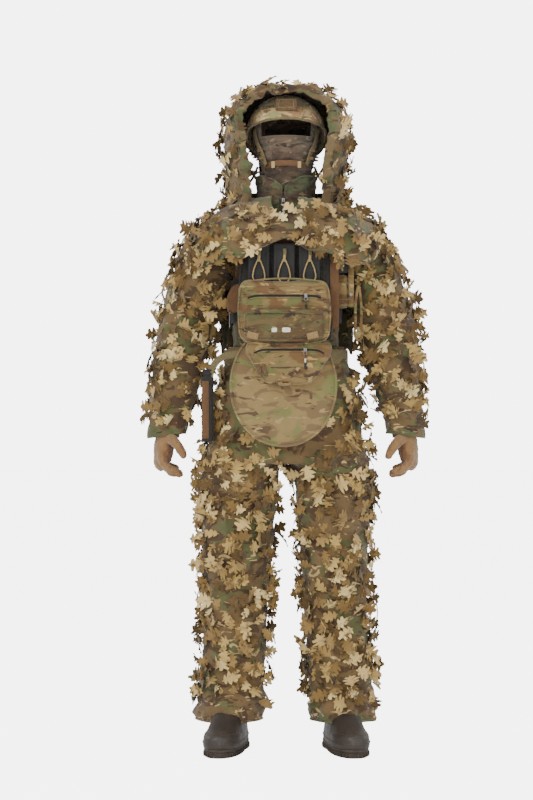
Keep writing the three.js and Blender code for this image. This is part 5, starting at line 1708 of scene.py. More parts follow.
def make_plates():
    for node_name, y0, y1, face in (("plate_bag_front", -0.1124, -0.0824, -1),
                                    ("plate_bag_back", 0.1424, 0.1604, 1)):
        def shape(p):
            top = rise(p[:, 2], 1.36, 1.42)
            p[:, 0] *= 1 - 0.24 * top
            return p
        bag = cushion("bag", (-0.125, y0, 1.130), (0.125, y1, 1.420), 0.009, "dark_webbing",
                      0.008, 0.0, shape)
        fold_mesh(bag, (0.05, 0.0016, 141, (1, 1, 1)))
        y = y0 - 0.001 if face < 0 else y1 + 0.001
        rows = [strap("web", [(-0.105, y, z), (0, y - 0.0004 * face, z), (0.105, y, z)],
                      (0, face, 0), 0.025, 0.0022, "dark_webbing", 0.01)
                for z in np.arange(1.155, 1.385, 0.038)]
        edge = tube("piping", rounded_line(-0.121, 0.121, 1.134, 1.36, 0.02, y), 0.002,
                    "dark_webbing", 0.008, closed=True)
        bars = []
        for z in np.arange(1.155, 1.385, 0.038):
            for x in np.arange(-0.095, 0.096, 0.038):
                bars.append((np.array([(x, y + 0.0018 * face, z - 0.011), (x, y + 0.0018 * face, z),
                                       (x, y + 0.0018 * face, z + 0.011)]), (0, face, 0)))
        tacks = row("tacks", bars, "stitch", 0.003, "olive_webbing")
        bag = place(join(node_name + "_sewn", [bag, edge] + rows + [tacks]), "trunk",
                    "dark_webbing", node_name)


def make_bands():
    for name, side in SIDES:
        turns = np.linspace(-1.15, 1.15, 60)
        heights = np.linspace(1.181, 1.299, 16)
        grid = loft_grid(((1180, 154.5, 115, 0, 30), (1240, 155, 116, 0, 30), (1300, 154.5, 115, 0, 30)),
                         heights, turns, 2.3)
        grid += grid_normals(grid, False) * 0.001
        lines = []
        for k in (3, 8, 13):
            out = unit((grid[k, 4:-4] - [0, BODY_Y, 0]) * [side, 1, 0])
            lines.append((grid[k, 4:-4] * [side, 1, 1], out))
        grid[..., 0] *= side
        band = grid_object("band", grid if side > 0 else grid[:, ::-1], "dark_webbing", closed=False)
        band = wall(band, 0.005)
        slots = row("band_slots", lines, "slot", 0.032, "black_polymer")
        place(join("cummerbund_sewn_" + name, [band, slots]), "trunk", "dark_webbing", "cummerbund_" + name)
        line = np.array([(103, -88, 1394), (103, -80, 1416), (103, -62, 1446), (103, -36, 1471),
                         (103, 0, 1488), (103, 30, 1492), (103, 62, 1488), (103, 100, 1470),
                         (103, 132, 1440), (103, 148, 1416), (103, 150, 1396)]) * MM * [side, 1, 1]
        facing = unit(line - [side * 0.103, 0.030, 1.40])
        over = strap("rig_strap_sewn_" + name, line, facing, 0.032, 0.005, "dark_webbing", 0.007)
        place(over, "trunk", "dark_webbing", "rig_strap_" + name)


def make_magazines():
    def shape(p):
        p[:, 1] += 0.0012 * np.cos(p[:, 0] * 2 * math.pi / 0.078) * (p[:, 1] < -0.12)
        return p
    panel = cushion("panel", (-0.124, -0.1398, 1.150), (0.112, -0.1128, 1.286), 0.004,
                    "dark_webbing", 0.006, 0.0, shape)
    work = bmesh.new()
    work.from_mesh(panel.data)
    gone = [f for f in work.faces if f.calc_center_median().z > 1.28 and abs(f.normal.z) > 0.7
            and any(abs(f.calc_center_median().x - (-0.075 + 0.069 * k)) < 0.029 for k in range(3))
            and -0.1335 < f.calc_center_median().y < -0.117]
    bmesh.ops.delete(work, geom=gone, context="FACES")
    work.to_mesh(panel.data)
    work.free()
    binding = [strap("binding", [(x - 0.031, -0.1402, 1.281), (x, -0.1404, 1.281), (x + 0.031, -0.1402, 1.281)],
                     FRONT, 0.012, 0.0016, "dark_webbing") for x in (-0.075, -0.006, 0.063)]
    place(join("magazine_panel_sewn", [panel] + binding), "trunk", "dark_webbing", "magazine_panel")
    for k in range(3):
        lo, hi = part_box(f"magazine_{k + 1}")

        def ribs(p, middle=(lo.x + hi.x) / 2):
            side = np.abs(p[:, 0] - middle)
            upper = p[:, 2] > 1.29
            p[:, 1] += np.where(upper & (side < 0.021) & (side > 0.012), 0.0015, 0) * np.sign(-0.125 - p[:, 1])
            p[:, 1] += 0.0008 * np.sign(p[:, 1] + 0.1253) * (np.sin(p[:, 2] * 700) > 0.6) * upper * -1
            return p
        # the magazine bodies take that black: partly their own colour, partly painted shade
        body = cushion("body", lo, hi, 0.003, "black_polymer", 0.003, 0.0, ribs)
        base = cushion("base", (lo.x - 0.0005, lo.y - 0.0005, hi.z - 0.014),
                       (hi.x + 0.0005, hi.y + 0.0005, hi.z + 0.0005), 0.003, "black_polymer", 0.004)
        place(crisp(join(f"magazine_{k + 1}_moulded", [body, base]), 30), f"magazine_{k + 1}",
              "black_polymer", f"magazine_{k + 1}")
        x = (lo.x + hi.x) / 2
        loop = [(x, -0.1385, 1.352), (x - 0.007, -0.139, 1.338), (x - 0.0145, -0.1395, 1.316),
                (x - 0.0155, -0.140, 1.298), (x - 0.008, -0.1405, 1.288), (x, -0.1405, 1.286),
                (x + 0.008, -0.1405, 1.288), (x + 0.0155, -0.140, 1.298), (x + 0.0145, -0.1395, 1.316),
                (x + 0.007, -0.139, 1.338)]
        cord = tube("cord", loop, 0.0019, "sand_elastic", 0.004, closed=True)
        knot = blob("knot", [(x, -0.1388, 1.346), (x + 0.001, -0.1392, 1.358)],
                    (0.0042, 0.0036), "sand_elastic", 10)
        tab = strap("tab", [(x, -0.139, 1.352), (x + 0.0015, -0.1405, 1.366), (x + 0.001, -0.139, 1.378)],
                    FRONT, 0.009, 0.0016, "olive_webbing", 0.004)
        place(join(f"bungee_sewn_{k + 1}", [cord, knot, tab]), "trunk", "tan_webbing",
              f"bungee_loop_{k + 1}")
    extras = [
        panel_patch("mesh_patch", (-0.034, 1.372), (0.030, 1.412), -0.114, "red_mesh"),
        panel_patch("side_patch", (0.056, 1.356), (0.112, 1.386), -0.1142, "tan_webbing"),
    ]
    place(join("rig_patches", extras), "trunk", "dark_webbing")


def panel_patch(name, low, high, y, material):
    outline = [(p[0], p[2]) for p in rounded_line(low[0], high[0], low[1], high[1], 0.0015, 0)]
    return panel(name, outline, y, 0.0014, material, 0.0012, 0.0004, 0.0006)


def zip_line(name, x0, x1, z, y, bow=0.006):
    """A zip: tape in a slot with its teeth, its ends curving down."""
    xs = np.linspace(x0, x1, 13)
    drop = bow * (np.abs(xs - (x0 + x1) / 2) / ((x1 - x0) / 2)) ** 8
    line = np.stack([xs, np.full(13, y), z - drop], -1)
    tape = strap("tape", line, FRONT, 0.0062, 0.0016, "dark_webbing", 0.006)
    teeth = row("teeth", [(path(line - [0, 0.001, 0], 0.004), FRONT)], "tooth", 0.0024, "black_polymer")
    lips = [tube("lip", line + [0, -0.0006, dz], 0.0021, "pouch_cloth", 0.006) for dz in (0.0052, -0.0044)]
    return join(name, [tape, teeth] + lips)


def slots_on(name, x0, x1, heights, y, spacing=0.024):
    lines = [(flat_row(x0, x1, z, y), FRONT) for z in heights]
    return row(name, lines, "slot", spacing, "brown_webbing")


def make_main_pouch():
    def shape(p):
        low = near(p[:, 2], 1.165, 0.08)
        p[:, 0] += 0.006
        p[:, 2] -= 0.003 * np.cos(p[:, 0] * 18) * rise(p[:, 2], 1.25, 1.29)
        p[:, 0] += np.sign(p[:, 0]) * 0.002 * low - 0.006
        return p
    pouch = cushion("pouch", (-0.1285, -0.1792, 1.1215), (0.1165, -0.1408, 1.2905), 0.016,
                    "pouch_cloth", 0.0055, 0.0008, shape, 3.0)
    rounded = points_of(pouch)
    x, z = rounded[:, 0] + 0.006, rounded[:, 2] - 1.206
    corner = np.clip(np.hypot(np.clip(np.abs(x) - 0.089, 0, 1), np.clip(np.abs(z) - 0.051, 0, 1)), 1e-6, 1)
    over = np.clip(0.034 / corner, 0, 1)
    x = np.where(corner > 0.034, np.sign(x) * (0.089 + (np.abs(x) - 0.089) * over), x)
    z = np.where(corner > 0.034, np.sign(z) * (0.051 + (np.abs(z) - 0.051) * over), z)
    rounded[:, 0], rounded[:, 2] = x - 0.006, z + 1.206
    set_points(pouch, rounded)
    quiet = lambda p: 0.0034 * (1 - near(p[:, 2], 1.248, 0.02)) * (p[:, 1] < -0.15)
    fold_mesh(pouch, (0.055, quiet, 151, (0.7, 1, 1.5)), (0.022, lambda p: quiet(p) * 0.3, 152, (0.7, 1, 1.6)))
    top_line = rounded_line(-0.1265, 0.1145, 1.1235, 1.2885, 0.034, -0.1775)
    piping = tube("piping", top_line, 0.0023, "pouch_cloth", 0.006, closed=True)
    seam = tube("seam", [(-0.120, -0.1790, 1.272), (-0.06, -0.1808, 1.275), (-0.006, -0.1812, 1.276),
                         (0.05, -0.1808, 1.275), (0.108, -0.1790, 1.272)], 0.0016, "pouch_cloth", 0.006)
    zipper = zip_line("zip", -0.104, 0.092, 1.248, -0.1798)
    slots = slots_on("slots", -0.098, 0.090, (1.262, 1.222, 1.214), -0.1800)
    stitches = row("stitches", [(rings_closed(path(rounded_line(-0.119, 0.107, 1.131, 1.281, 0.028, -0.1808), 0.004)), FRONT)],
                   "stitch", stitch_step(), "brown_webbing")
    pouch = join("main_pouch_sewn", [pouch, piping, seam, zipper, slots, stitches])
    pouch = place(pouch, "trunk", "camo_cloth", "main_pouch")


def make_front_pocket():
    def shape(p):
        open_top = rise(p[:, 2], 1.19, 1.208)
        p[:, 1] += 0.003 * open_top * (p[:, 1] < -0.19)
        p[:, 2] += 0.003 * np.sin(p[:, 0] * 24 + 1) * open_top
        return p
    pocket = cushion("pocket", (-0.113, -0.1975, 1.132), (0.101, -0.1812, 1.208), 0.008,
                     "pocket_cloth", 0.005, 0.001, shape, 2.6)
    fold_mesh(pocket, (0.05, 0.003, 161, (0.6, 1, 1.7)), (0.018, 0.0009, 162, (0.7, 1, 1.7)))
    binding = strap("binding", [(-0.108, -0.1955, 1.204), (-0.05, -0.1985, 1.2055), (0.04, -0.1988, 1.204),
                                (0.096, -0.1955, 1.203)], (0, -1, 0.3), 0.010, 0.002, "pocket_cloth", 0.006)
    edge = tube("edge", rounded_line(-0.111, 0.099, 1.1345, 1.202, 0.010, -0.1955), 0.0019,
                "pocket_cloth", 0.006, closed=True)
    slots = slots_on("slots", -0.090, 0.082, (1.186, 1.162, 1.154), -0.1985)
    pleat = tube("pleat", [(-0.105, -0.1965, 1.171), (-0.006, -0.1992, 1.169), (0.094, -0.1965, 1.171)],
                 0.0012, "pocket_cloth", 0.006)
    tabs = []
    for x, lean in ((-0.089, -0.002), (0.068, 0.002)):
        tabs.append(strap("tab", [(x, -0.1972, 1.149), (x + lean, -0.1992, 1.141), (x + lean * 2, -0.1982, 1.132)],
                          FRONT, 0.030, 0.0026, "hook_tab", 0.004))
    tag = [panel_patch("tag", (x, 1.1500), (x + wide, 1.1615), -0.2003, "white_tag")
           for x, wide in ((-0.040, 0.014), (-0.012, 0.022))]
    pocket = join("front_pocket_sewn", [pocket, binding, edge, slots, pleat] + tabs + tag)
    place(pocket, "trunk", "camo_cloth", "front_pocket")


def dangler_shape(p):
    down = np.clip((1.1206 - p[:, 2]) / 0.112, 0, 1)
    width = 0.116 - 0.052 * rise(down, 0.15, 1.0)
    p[:, 0] = 0.006 + (p[:, 0] - 0.006) / 0.116 * width
    p[:, 1] += 0.010 * rise(down, 0.55, 1.0) * (p[:, 1] < -0.16)
    p[:, 2] += 0.010 * (np.abs(p[:, 0] - 0.006) / 0.07) ** 3 * rise(down, 0.7, 1.0)
    return p


def make_dangler():
    pouch = cushion("pouch", (-0.110, -0.1790, 1.0090), (0.122, -0.1408, 1.1205), 0.012,
                    "pouch_cloth", 0.005, 0.0008, dangler_shape, 3.0)
    quiet = lambda p: 0.0042 * (1 - near(p[:, 2], 1.1026, 0.014)) * (p[:, 1] < -0.15)
    fold_mesh(pouch, (0.05, quiet, 171, (0.6, 1, 1.7)), (0.02, lambda p: quiet(p) * 0.3, 172, (0.6, 1, 1.8)))
    corners = [(-0.106, 1.116), (-0.060, 1.118), (0.006, 1.119), (0.072, 1.118), (0.118, 1.116),
               (0.112, 1.092), (0.092, 1.052), (0.072, 1.022), (0.050, 1.0125), (0.006, 1.011),
               (-0.038, 1.0125), (-0.060, 1.022), (-0.080, 1.052), (-0.100, 1.092)]
    piping = tube("piping", [(x, -0.1755 + 0.008 * rise(1.06 - z, 0, 0.05), z) for x, z in corners], 0.0022,
                  "pouch_cloth", 0.006, closed=True)
    zipper = zip_line("zip", -0.088, 0.100, 1.1026, -0.1798, 0.010)
    loops = []
    for x, low in ((-0.074, 1.038), (-0.059, 1.032)):
        loops.append(strap("loop", [(x - 0.004, -0.1790, 1.062), (x, -0.1835, (low + 1.062) / 2), (x + 0.003, -0.1800, low)],
                           FRONT, 0.012, 0.002, "brown_webbing", 0.004))
    loops.append(panel_patch("lock", (0.048, 1.050), (0.056, 1.072), -0.1800, "dark_webbing"))
    pull = strap("pull", [(-0.022, -0.172, 1.012), (-0.006, -0.1755, 1.0085), (0.012, -0.172, 1.012)],
                 (0, -0.6, -0.8), 0.012, 0.002, "hook_tab", 0.004)
    pouch = join("dangler_sewn", [pouch, piping, zipper, pull] + loops)
    place(pouch, "flap", "camo_cloth", "dangler_pouch")


FLAP = ((-108, 1116), (-128, 1080), (-141, 1034), (-142, 990), (-130, 938), (-104, 892), (-66, 860),
        (-24, 845), (24, 845), (66, 860), (104, 892), (130, 938), (142, 990), (141, 1034),
        (128, 1080), (108, 1116))


def make_flap():
    outline = [((x - 8) * MM, z * MM) for x, z in FLAP]
    flap = panel("flap", outline, -0.1392, 0.011, "flap_cloth", 0.006, 0.002, 0.004)
    fold_mesh(flap, (0.09, 0.0035, 181, (1, 1, 1)), (0.035, 0.0008, 182, (1, 1, 1.2)))
    edge = path([(x, -0.1376, z) for x, z in outline], 0.006, closed=True)
    binding = tube("binding", edge, 0.0034, "flap_cloth", 0.006, 8, closed=True)
    inset = edge.mean(0) + (edge - edge.mean(0)) * [0.945, 1, 0.945]
    inset[:, 1] = -0.1418
    stitches = row("stitches", [(rings_closed(inset), FRONT)], "stitch", stitch_step(), "brown_webbing")
    place(join("groin_flap_sewn", [flap, binding, stitches]), "flap", "camo_cloth", "groin_flap")


def make_side_gear():
    retention = strap("web", [(0.131, -0.1128, 1.163), (0.1315, -0.1150, 1.24), (0.131, -0.1150, 1.30),
                              (0.130, -0.1128, 1.364)], FRONT, 0.024, 0.0026, "tan_webbing")
    place(retention, "trunk", "tan_webbing", "retention_strap")

    def bundle(p):
        p[:, 0] += 0.0015 * np.sin(p[:, 2] * 210)
        p[:, 1] += 0.0020 * np.cos(p[:, 2] * 150) * (p[:, 1] < -0.07)
        return p
    pouch = cushion("wrap", (0.126, -0.0895, 1.220), (0.169, -0.0465, 1.311), 0.012, "pouch_cloth", 0.005,
                    0.001, bundle, 2.4)
    fold_mesh(pouch, (0.03, 0.002, 191, (1, 1, 1.4)))
    wraps = [strap("wrap_band", rounded_box_line(0.1255, 0.1695, -0.0903, -0.0457, z, 0.012), (0.0, 0.0, 1.0),
                   0.016, 0.002, "olive_webbing", 0.006, closed=True) for z in (1.243, 1.288)]
    tag = panel_patch("tag", (0.141, 1.330), (0.157, 1.352), -0.1135, "white_tag")
    board = panel("board", [(p[0], p[2]) for p in rounded_line(0.120, 0.168, 1.314, 1.372, 0.004, 0)],
                  -0.1120, 0.004, "dark_webbing", 0.006, 0.0005, 0.001)
    pouch = place(join("tourniquet_sewn", [pouch, tag, board] + wraps), "trunk", "camo_cloth", "tourniquet_pouch")

    snap = strap("web", [(0.177, -0.0835, 1.221), (0.1775, -0.0865, 1.26), (0.177, -0.0868, 1.31),
                         (0.1765, -0.0840, 1.349)], FRONT, 0.0150, 0.0024, "pouch_cloth", 0.005)
    caps = [dome("cap", (0.177, -0.0880, z), 0.0052, 0.0022, "steel") for z in (1.334, 1.256)]
    place(join("snap_strap_sewn", [snap] + caps), "trunk", "camo_cloth", "snap_strap")

    x0, x1 = 0.1915, 0.2030
    loop = [(x0, -0.0858, 1.135), (x0 - 0.002, -0.0862, 1.18), (x0 - 0.001, -0.0862, 1.24),
            ((x0 + x1) / 2, -0.0858, 1.279), (x1 + 0.001, -0.0850, 1.24), (x1 + 0.002, -0.0850, 1.18),
            (x1, -0.0852, 1.135), ((x0 + x1) / 2, -0.0856, 1.130)]
    hanging = strap("hanging_strap_sewn", loop, FRONT, 0.0070, 0.0022, "pouch_cloth", 0.005, closed=True)
    place(hanging, "trunk", "camo_cloth", "hanging_strap")

    tab = panel("tab", [(-0.101, 1.284), (-0.148, 1.279), (-0.157, 1.264), (-0.162, 1.216), (-0.158, 1.207),
                        (-0.144, 1.207), (-0.101, 1.232)], -0.0638, 0.0034, "tan_webbing", 0.005, 0.0004, 0.001)
    tack = row("tack", [(flat_row(-0.155, -0.12, 1.245, -0.0645), FRONT),
                        (flat_row(-0.155, -0.12, 1.238, -0.0645), FRONT)], "stitch", 0.004, "brown_webbing")
    place(join("carabiner_tab_sewn", [tab, tack]), "trunk", "tan_webbing", "carabiner_tab")
    for node_name in ("carabiner_body", "carabiner_gate"):
        repaint(node_name, "steel")


def rounded_box_line(x0, x1, y0, y1, z, r):
    line = rounded_line(x0, x1, y0, y1, r, 0)
    return np.stack([line[:, 0], line[:, 2], np.full(len(line), z)], -1)


def dome(name, at, radius, high, material, sides=16):
    at = np.array(at)
    points, faces = [], []
    for k, (s, h) in enumerate(((1, 0), (0.94, 0.5), (0.7, 0.85), (0.35, 0.98))):
        for j in range(sides):
            t = j * 2 * math.pi / sides
            points.append(at + [radius * s * math.cos(t), -high * h, radius * s * math.sin(t)])
    for i in range(3):
        faces += [(i * sides + j, i * sides + (j + 1) % sides, (i + 1) * sides + (j + 1) % sides,
                   (i + 1) * sides + j) for j in range(sides)]
    faces += [[3 * sides + j for j in range(sides)], [j for j in range(sides)]]
    return weld(new_object(name, points, faces, material), outwards=True)


def repaint(node_name, material):
    obj = frame["nodes"][node_name]
    obj.data.materials.clear()
    obj.data.materials.append(bpy.data.materials[material])


def make_belt():
    turns = around(140, -math.pi / 2, 1.5 * math.pi)
    line = loft_grid(((1066, 170.5, 111.5, 0, 30), (1087, 169.5, 111, 0, 30), (1108, 168, 110, 0, 30)),
                     [1.087], turns, 2.1)[0]
    belt = strap("belt_web", line[::2], unit(line[::2] - [0, BODY_Y, 1.087]), 0.041, 0.006, "olive_webbing",
                 0.008, closed=True)
    place(belt, "trunk", "dark_webbing", "belt")
    plate = cushion("plate", (-0.031, -0.0985, 1.062), (0.031, -0.0800, 1.112), 0.004, "black_polymer", 0.004)
    bar = tube("bar", rounded_line(-0.024, 0.024, 1.069, 1.105, 0.006, -0.0988), 0.0022, "black_polymer",
               0.005, closed=True)
    place(crisp(join("belt_buckle_moulded", [plate, bar]), 40), "trunk", "black_polymer", "belt_buckle")


def make_sheath():
    slab_part = cushion("slab", (-0.232, -0.0638, 0.853), (-0.200, -0.0442, 1.029), 0.006, "dark_webbing",
                        0.005, 0.0008, None, 3.0)
    fold_mesh(slab_part, (0.05, 0.0012, 201, (1, 1, 1)))
    strip = strap("strip", [(-0.2215, -0.0648, 0.862), (-0.2215, -0.0654, 0.94), (-0.2215, -0.0648, 1.020)],
                  FRONT, 0.019, 0.0024, "tan_webbing")
    throat = cushion("throat", (-0.2335, -0.0650, 1.012), (-0.1985, -0.0432, 1.031), 0.004, "dark_webbing", 0.004)
    work = bmesh.new()
    work.from_mesh(throat.data)
    top = [f for f in work.faces if f.normal.z > 0.8 and abs(f.calc_center_median().x + 0.216) < 0.0125]
    bmesh.ops.delete(work, geom=top, context="FACES")
    work.to_mesh(throat.data)
    work.free()
    hanger = strap("hanger", [(-0.212, -0.0540, 1.020), (-0.205, -0.0580, 1.050), (-0.186, -0.0615, 1.078),
                              (-0.160, -0.0690, 1.090), (-0.128, -0.0800, 1.092)], (-0.3, -1, 0.2), 0.020, 0.003,
                   "olive_webbing")
    place(join("sheath_sewn", [slab_part, strip, throat, hanger]), "trunk", "dark_webbing", "sheath")
    lo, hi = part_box("tool")

    def grip(p):
        p[:, 1] *= 1 + 0.03 * np.sin(p[:, 2] * 600) * (p[:, 2] > 1.0)
        return p
    tool = cushion("tool_moulded", lo, hi, 0.003, "black_polymer", 0.003, 0.0, grip)
    place(tool, "tool", "black_polymer", "tool")


def make_slider(node_name, body, pull_material):
    """A zip slider: bridge over the teeth, and a hanging pull with a bead."""
    lo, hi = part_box(node_name)
    x, y = (lo.x + hi.x) / 2, lo.y
    top = hi.z
    block = cushion("block", (x - 0.0048, y + 0.0012, top - 0.013), (x + 0.0048, hi.y, top), 0.0022, "steel", 0.0015)
    bridge = tube("bridge", [(x, y + 0.0018, top - 0.001), (x, y - 0.0002, top - 0.005),
                             (x, y + 0.0018, top - 0.011)], 0.0012, "steel", 0.0015, 8)
    ring = tube("ring", [(x - 0.0028, y + 0.001, top - 0.010), (x + 0.0028, y + 0.001, top - 0.010),
                         (x + 0.0032, y + 0.0012, top - 0.019), (x - 0.0032, y + 0.0012, top - 0.019)],
                0.0008, "steel", 0.002, 6, closed=True)
    cord = tube("cord", [(x, y + 0.0016, top - 0.017), (x + 0.0012, y + 0.0008, top - 0.026),
                         (x + 0.0004, y + 0.0014, lo.z + 0.006)], 0.0013, "dark_cord", 0.003, 8)
    bead = blob("bead", [(x + 0.0004, y + 0.0014, lo.z + 0.008), (x + 0.0004, y + 0.0014, lo.z + 0.0015)],
                (0.0030, 0.0022), pull_material, 10)
    place(join(node_name + "_set", [block, bridge, ring, cord, bead]), body, "steel", node_name)


def make_sliders():
    make_slider("main_pouch_zip_slider", "pouch_zip", "black_polymer")
    make_slider("dangler_zip_slider", "dangler_zip", "white_tag")
    make_slider("collar_zip_slider", "collar_zip", "white_tag")


# ---------------------------------------------------------------- add-on


class SuitSettings(bpy.types.PropertyGroup):
    """Sizes and colours of the leaf suit."""

    leaf_length: bpy.props.FloatProperty(
        name="Leaf length", description="Length of a cut leaf", default=0.048,
        min=0.01, max=0.2, subtype="DISTANCE", unit="LENGTH")
    leaf_spacing: bpy.props.FloatProperty(
        name="Leaf spacing", description="Least distance between two leaves", default=0.0165,
        min=0.008, max=0.2, subtype="DISTANCE", unit="LENGTH")
    cloth_thickness: bpy.props.FloatProperty(
        name="Cloth", description="Thickness of the suit's cloth", default=0.003,
        min=0.0005, max=0.01, subtype="DISTANCE", unit="LENGTH")
    ground: bpy.props.FloatVectorProperty(
        name="Ground", description="Main colour of the printed cloth", size=4,
        default=paint("#5f4d32"), subtype="COLOR")
    green: bpy.props.FloatVectorProperty(
        name="Green", description="Green patches of the print", size=4,
        default=paint("#4d4f30"), subtype="COLOR")
    brown: bpy.props.FloatVectorProperty(
        name="Brown", description="Brown patches of the print", size=4,
        default=paint("#3f2e1c"), subtype="COLOR")


class GearSettings(bpy.types.PropertyGroup):
    """Sizes and colours of the rig, pouches and helmet."""

    stitch_spacing: bpy.props.FloatProperty(
        name="Stitches", description="Distance from one stitch to the next", default=0.0042,
        min=0.002, max=0.02, subtype="DISTANCE", unit="LENGTH")
    pouch_fill: bpy.props.FloatProperty(
        name="Pouch fill", description="How full the pouches are", default=0.6, min=0.0, max=1.0,
        subtype="FACTOR")
    webbing: bpy.props.FloatVectorProperty(
        name="Webbing", description="Colour of the rig's webbing", size=4,
        default=paint("#100f0c"), subtype="COLOR")
    strap: bpy.props.FloatVectorProperty(
        name="Tan straps", description="Colour of the tan straps and tabs", size=4,
        default=paint("#5d4328"), subtype="COLOR")


class StageSettings(bpy.types.PropertyGroup):
    """Where the camera stands and how bright the studio is."""

    distance: bpy.props.FloatProperty(
        name="Distance", description="From the suit to the camera", default=6.4, min=2.0, max=20.0,
        subtype="DISTANCE", unit="LENGTH")
    height: bpy.props.FloatProperty(
        name="Height", description="Height of the camera", default=0.95, min=0.1, max=3.0,
        subtype="DISTANCE", unit="LENGTH")
    light: bpy.props.FloatProperty(
        name="Light", description="Strength of all the lamps together", default=1.0, min=0.1, max=5.0)


class MakeSuitFinishes(bpy.types.Operator):
    """Makes every cloth, webbing, leather and metal finish, and the repeating shapes"""

    bl_idname = "leaf_suit.finishes"
    bl_label = "Finishes"

    def execute(self, context):
        make_finishes()
        return {"FINISHED"}


class MakeSuitStage(bpy.types.Operator):
    """Makes the floor, lights and camera"""

    bl_idname = "leaf_suit.stage"
    bl_label = "Stage"

    def execute(self, context):
        settings = context.scene.suit_stage
        make_stage(settings.distance, settings.height, settings.light)
        return {"FINISHED"}


class MakeSuitLeafCords(bpy.types.Operator):
    """Makes the two loose cord loops that carry leaves beside the shins"""

    bl_idname = "leaf_suit.leaf_cords"
    bl_label = "Leaf cords"

    def execute(self, context):
        make_leaf_cords()
        return {"FINISHED"}


class MakeSuitTrousers(bpy.types.Operator):
    """Makes the trousers in one skin, cut where each knee bends, with their leaves"""

    bl_idname = "leaf_suit.trousers"
    bl_label = "Trousers"

    def execute(self, context):
        make_trousers()
        return {"FINISHED"}


class MakeSuitBoots(bpy.types.Operator):
    """Makes both boots with toe caps, stitching and treaded soles"""

    bl_idname = "leaf_suit.boots"
    bl_label = "Boots"

    def execute(self, context):
        make_boots()
        return {"FINISHED"}


class MakeSuitSleeves(bpy.types.Operator):
    """Makes both sleeves, cut above the elbows, with cuffs and leaves"""

    bl_idname = "leaf_suit.sleeves"
    bl_label = "Sleeves"

    def execute(self, context):
        make_sleeves()
        return {"FINISHED"}


class MakeSuitGloves(bpy.types.Operator):
    """Makes both suede gloves with palms and wrist bands"""

    bl_idname = "leaf_suit.gloves"
    bl_label = "Gloves"

    def execute(self, context):
        make_gloves()
        return {"FINISHED"}


class MakeSuitShirt(bpy.types.Operator):
    """Makes the body of the jacket under the rig"""

    bl_idname = "leaf_suit.shirt"
    bl_label = "Shirt"

    def execute(self, context):
        make_shirt()
        return {"FINISHED"}


class MakeSuitCollar(bpy.types.Operator):
    """Makes the open collar, its neck cloth and its zip"""

    bl_idname = "leaf_suit.collar"
    bl_label = "Collar"

    def execute(self, context):
        make_collar()
        return {"FINISHED"}


class MakeSuitCape(bpy.types.Operator):
    """Makes the shoulder cape in three parts"""

    bl_idname = "leaf_suit.cape"
    bl_label = "Cape"

    def execute(self, context):
        make_cape()
        return {"FINISHED"}


class MakeSuitCapeBack(bpy.types.Operator):
    """Makes the panel that hangs from the cape behind"""

    bl_idname = "leaf_suit.cape_back"
    bl_label = "Back panel"

    def execute(self, context):
        make_cape_back()
        return {"FINISHED"}


class MakeSuitHood(bpy.types.Operator):
    """Makes the hood, its rolled edge and its leaves"""

    bl_idname = "leaf_suit.hood"
    bl_label = "Hood"

    def execute(self, context):
        make_hood()
        return {"FINISHED"}


class MakeSuitMask(bpy.types.Operator):
    """Makes the folded knit mask with its empty eye slot"""

    bl_idname = "leaf_suit.mask"
    bl_label = "Mask"

    def execute(self, context):
        make_mask()
        return {"FINISHED"}


class MakeSuitHelmet(bpy.types.Operator):
    """Makes the helmet cover, front plate, pads and chin straps"""

    bl_idname = "leaf_suit.helmet"
    bl_label = "Helmet"

    def execute(self, context):
        make_helmet()
        return {"FINISHED"}


class MakeSuitPlates(bpy.types.Operator):
    """Makes the front and back plate bags with their webbing rows"""

    bl_idname = "leaf_suit.plates"
    bl_label = "Plate bags"

    def execute(self, context):
        make_plates()
        return {"FINISHED"}


class MakeSuitBands(bpy.types.Operator):
    """Makes the side bands and shoulder straps of the rig"""

    bl_idname = "leaf_suit.bands"
    bl_label = "Side bands"

    def execute(self, context):
        make_bands()
        return {"FINISHED"}


class MakeSuitMagazines(bpy.types.Operator):
    """Makes the magazine panel, magazines and elastic loops"""

    bl_idname = "leaf_suit.magazines"
    bl_label = "Magazines"

    def execute(self, context):
        make_magazines()
        return {"FINISHED"}


class MakeSuitMainPouch(bpy.types.Operator):
    """Makes the large zipped pouch"""

    bl_idname = "leaf_suit.main_pouch"
    bl_label = "Main pouch"

    def execute(self, context):
        make_main_pouch()
        return {"FINISHED"}


class MakeSuitFrontPocket(bpy.types.Operator):
    """Makes the flat pocket on the main pouch"""

    bl_idname = "leaf_suit.front_pocket"
    bl_label = "Front pocket"

    def execute(self, context):
        make_front_pocket()
        return {"FINISHED"}


class MakeSuitDangler(bpy.types.Operator):
    """Makes the tapering pouch that hangs from the rig"""

    bl_idname = "leaf_suit.dangler"
    bl_label = "Lower pouch"

    def execute(self, context):
        make_dangler()
        return {"FINISHED"}


class MakeSuitFlap(bpy.types.Operator):
    """Makes the rounded flap with its bound edge"""

    bl_idname = "leaf_suit.flap"
    bl_label = "Groin flap"

    def execute(self, context):
        make_flap()
        return {"FINISHED"}


class MakeSuitSideGear(bpy.types.Operator):
    """Makes the side straps, wrapped pouch, tab and snap hook"""

    bl_idname = "leaf_suit.side_gear"
    bl_label = "Side gear"

    def execute(self, context):
        make_side_gear()
        return {"FINISHED"}


class MakeSuitBelt(bpy.types.Operator):
    """Makes the belt and its buckle"""

    bl_idname = "leaf_suit.belt"
    bl_label = "Belt"

    def execute(self, context):
        make_belt()
        return {"FINISHED"}


class MakeSuitSheath(bpy.types.Operator):
    """Makes the sheath, its hanger and the tool in it"""

    bl_idname = "leaf_suit.sheath"
    bl_label = "Sheath"

    def execute(self, context):
        make_sheath()
        return {"FINISHED"}


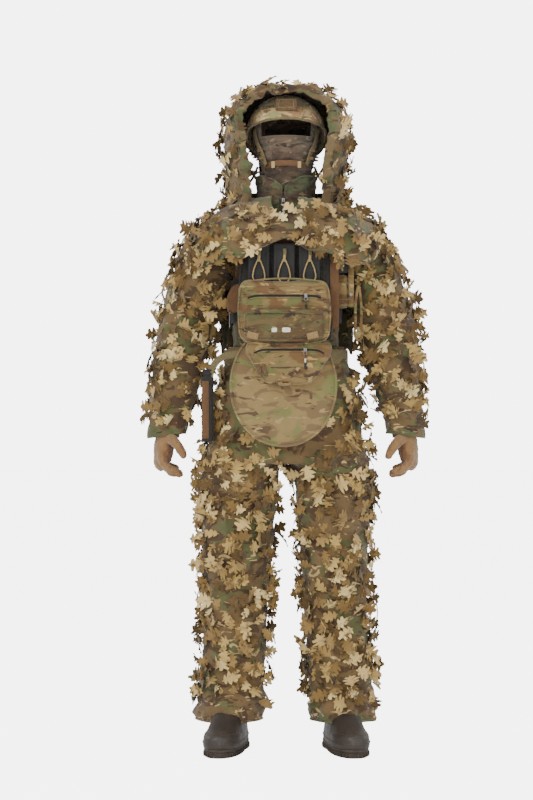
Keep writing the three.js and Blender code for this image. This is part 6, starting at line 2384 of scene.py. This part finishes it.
class MakeSuitSliders(bpy.types.Operator):
    """Makes the three zip sliders with their pulls"""

    bl_idname = "leaf_suit.sliders"
    bl_label = "Zip sliders"

    def execute(self, context):
        make_sliders()
        return {"FINISHED"}


MAKERS = (
    MakeSuitFinishes, MakeSuitStage, MakeSuitLeafCords, MakeSuitTrousers, MakeSuitBoots,
    MakeSuitSleeves, MakeSuitGloves, MakeSuitShirt, MakeSuitCollar, MakeSuitCape, MakeSuitCapeBack,
    MakeSuitHood, MakeSuitMask, MakeSuitHelmet, MakeSuitPlates, MakeSuitBands, MakeSuitMagazines,
    MakeSuitMainPouch, MakeSuitFrontPocket, MakeSuitDangler, MakeSuitFlap, MakeSuitSideGear,
    MakeSuitBelt, MakeSuitSheath, MakeSuitSliders,
)


class SuitPanel(bpy.types.Panel):
    """Lists the suit's pieces and settings in the sidebar."""

    bl_idname = "VIEW3D_PT_leaf_suit"
    bl_label = "Leaf suit"
    bl_space_type = "VIEW_3D"
    bl_region_type = "UI"
    bl_category = "Leaf suit"

    def draw(self, context):
        for owner in (context.scene.suit_cloth, context.scene.suit_gear, context.scene.suit_stage):
            for key in owner.__annotations__:
                self.layout.prop(owner, key)
        for maker in MAKERS:
            self.layout.operator(maker.bl_idname)


CLASSES = (SuitSettings, GearSettings, StageSettings, *MAKERS, SuitPanel)


def register():
    for cls in CLASSES:
        bpy.utils.register_class(cls)
    bpy.types.Scene.suit_cloth = bpy.props.PointerProperty(type=SuitSettings)
    bpy.types.Scene.suit_gear = bpy.props.PointerProperty(type=GearSettings)
    bpy.types.Scene.suit_stage = bpy.props.PointerProperty(type=StageSettings)


def unregister():
    del bpy.types.Scene.suit_stage, bpy.types.Scene.suit_gear, bpy.types.Scene.suit_cloth
    for cls in reversed(CLASSES):
        bpy.utils.unregister_class(cls)


def main():
    register()
    for maker in MAKERS:
        group_name, key = maker.bl_idname.split(".")
        getattr(getattr(bpy.ops, group_name), key)()
    clear_sources()


if __name__ == "__main__":
    main()
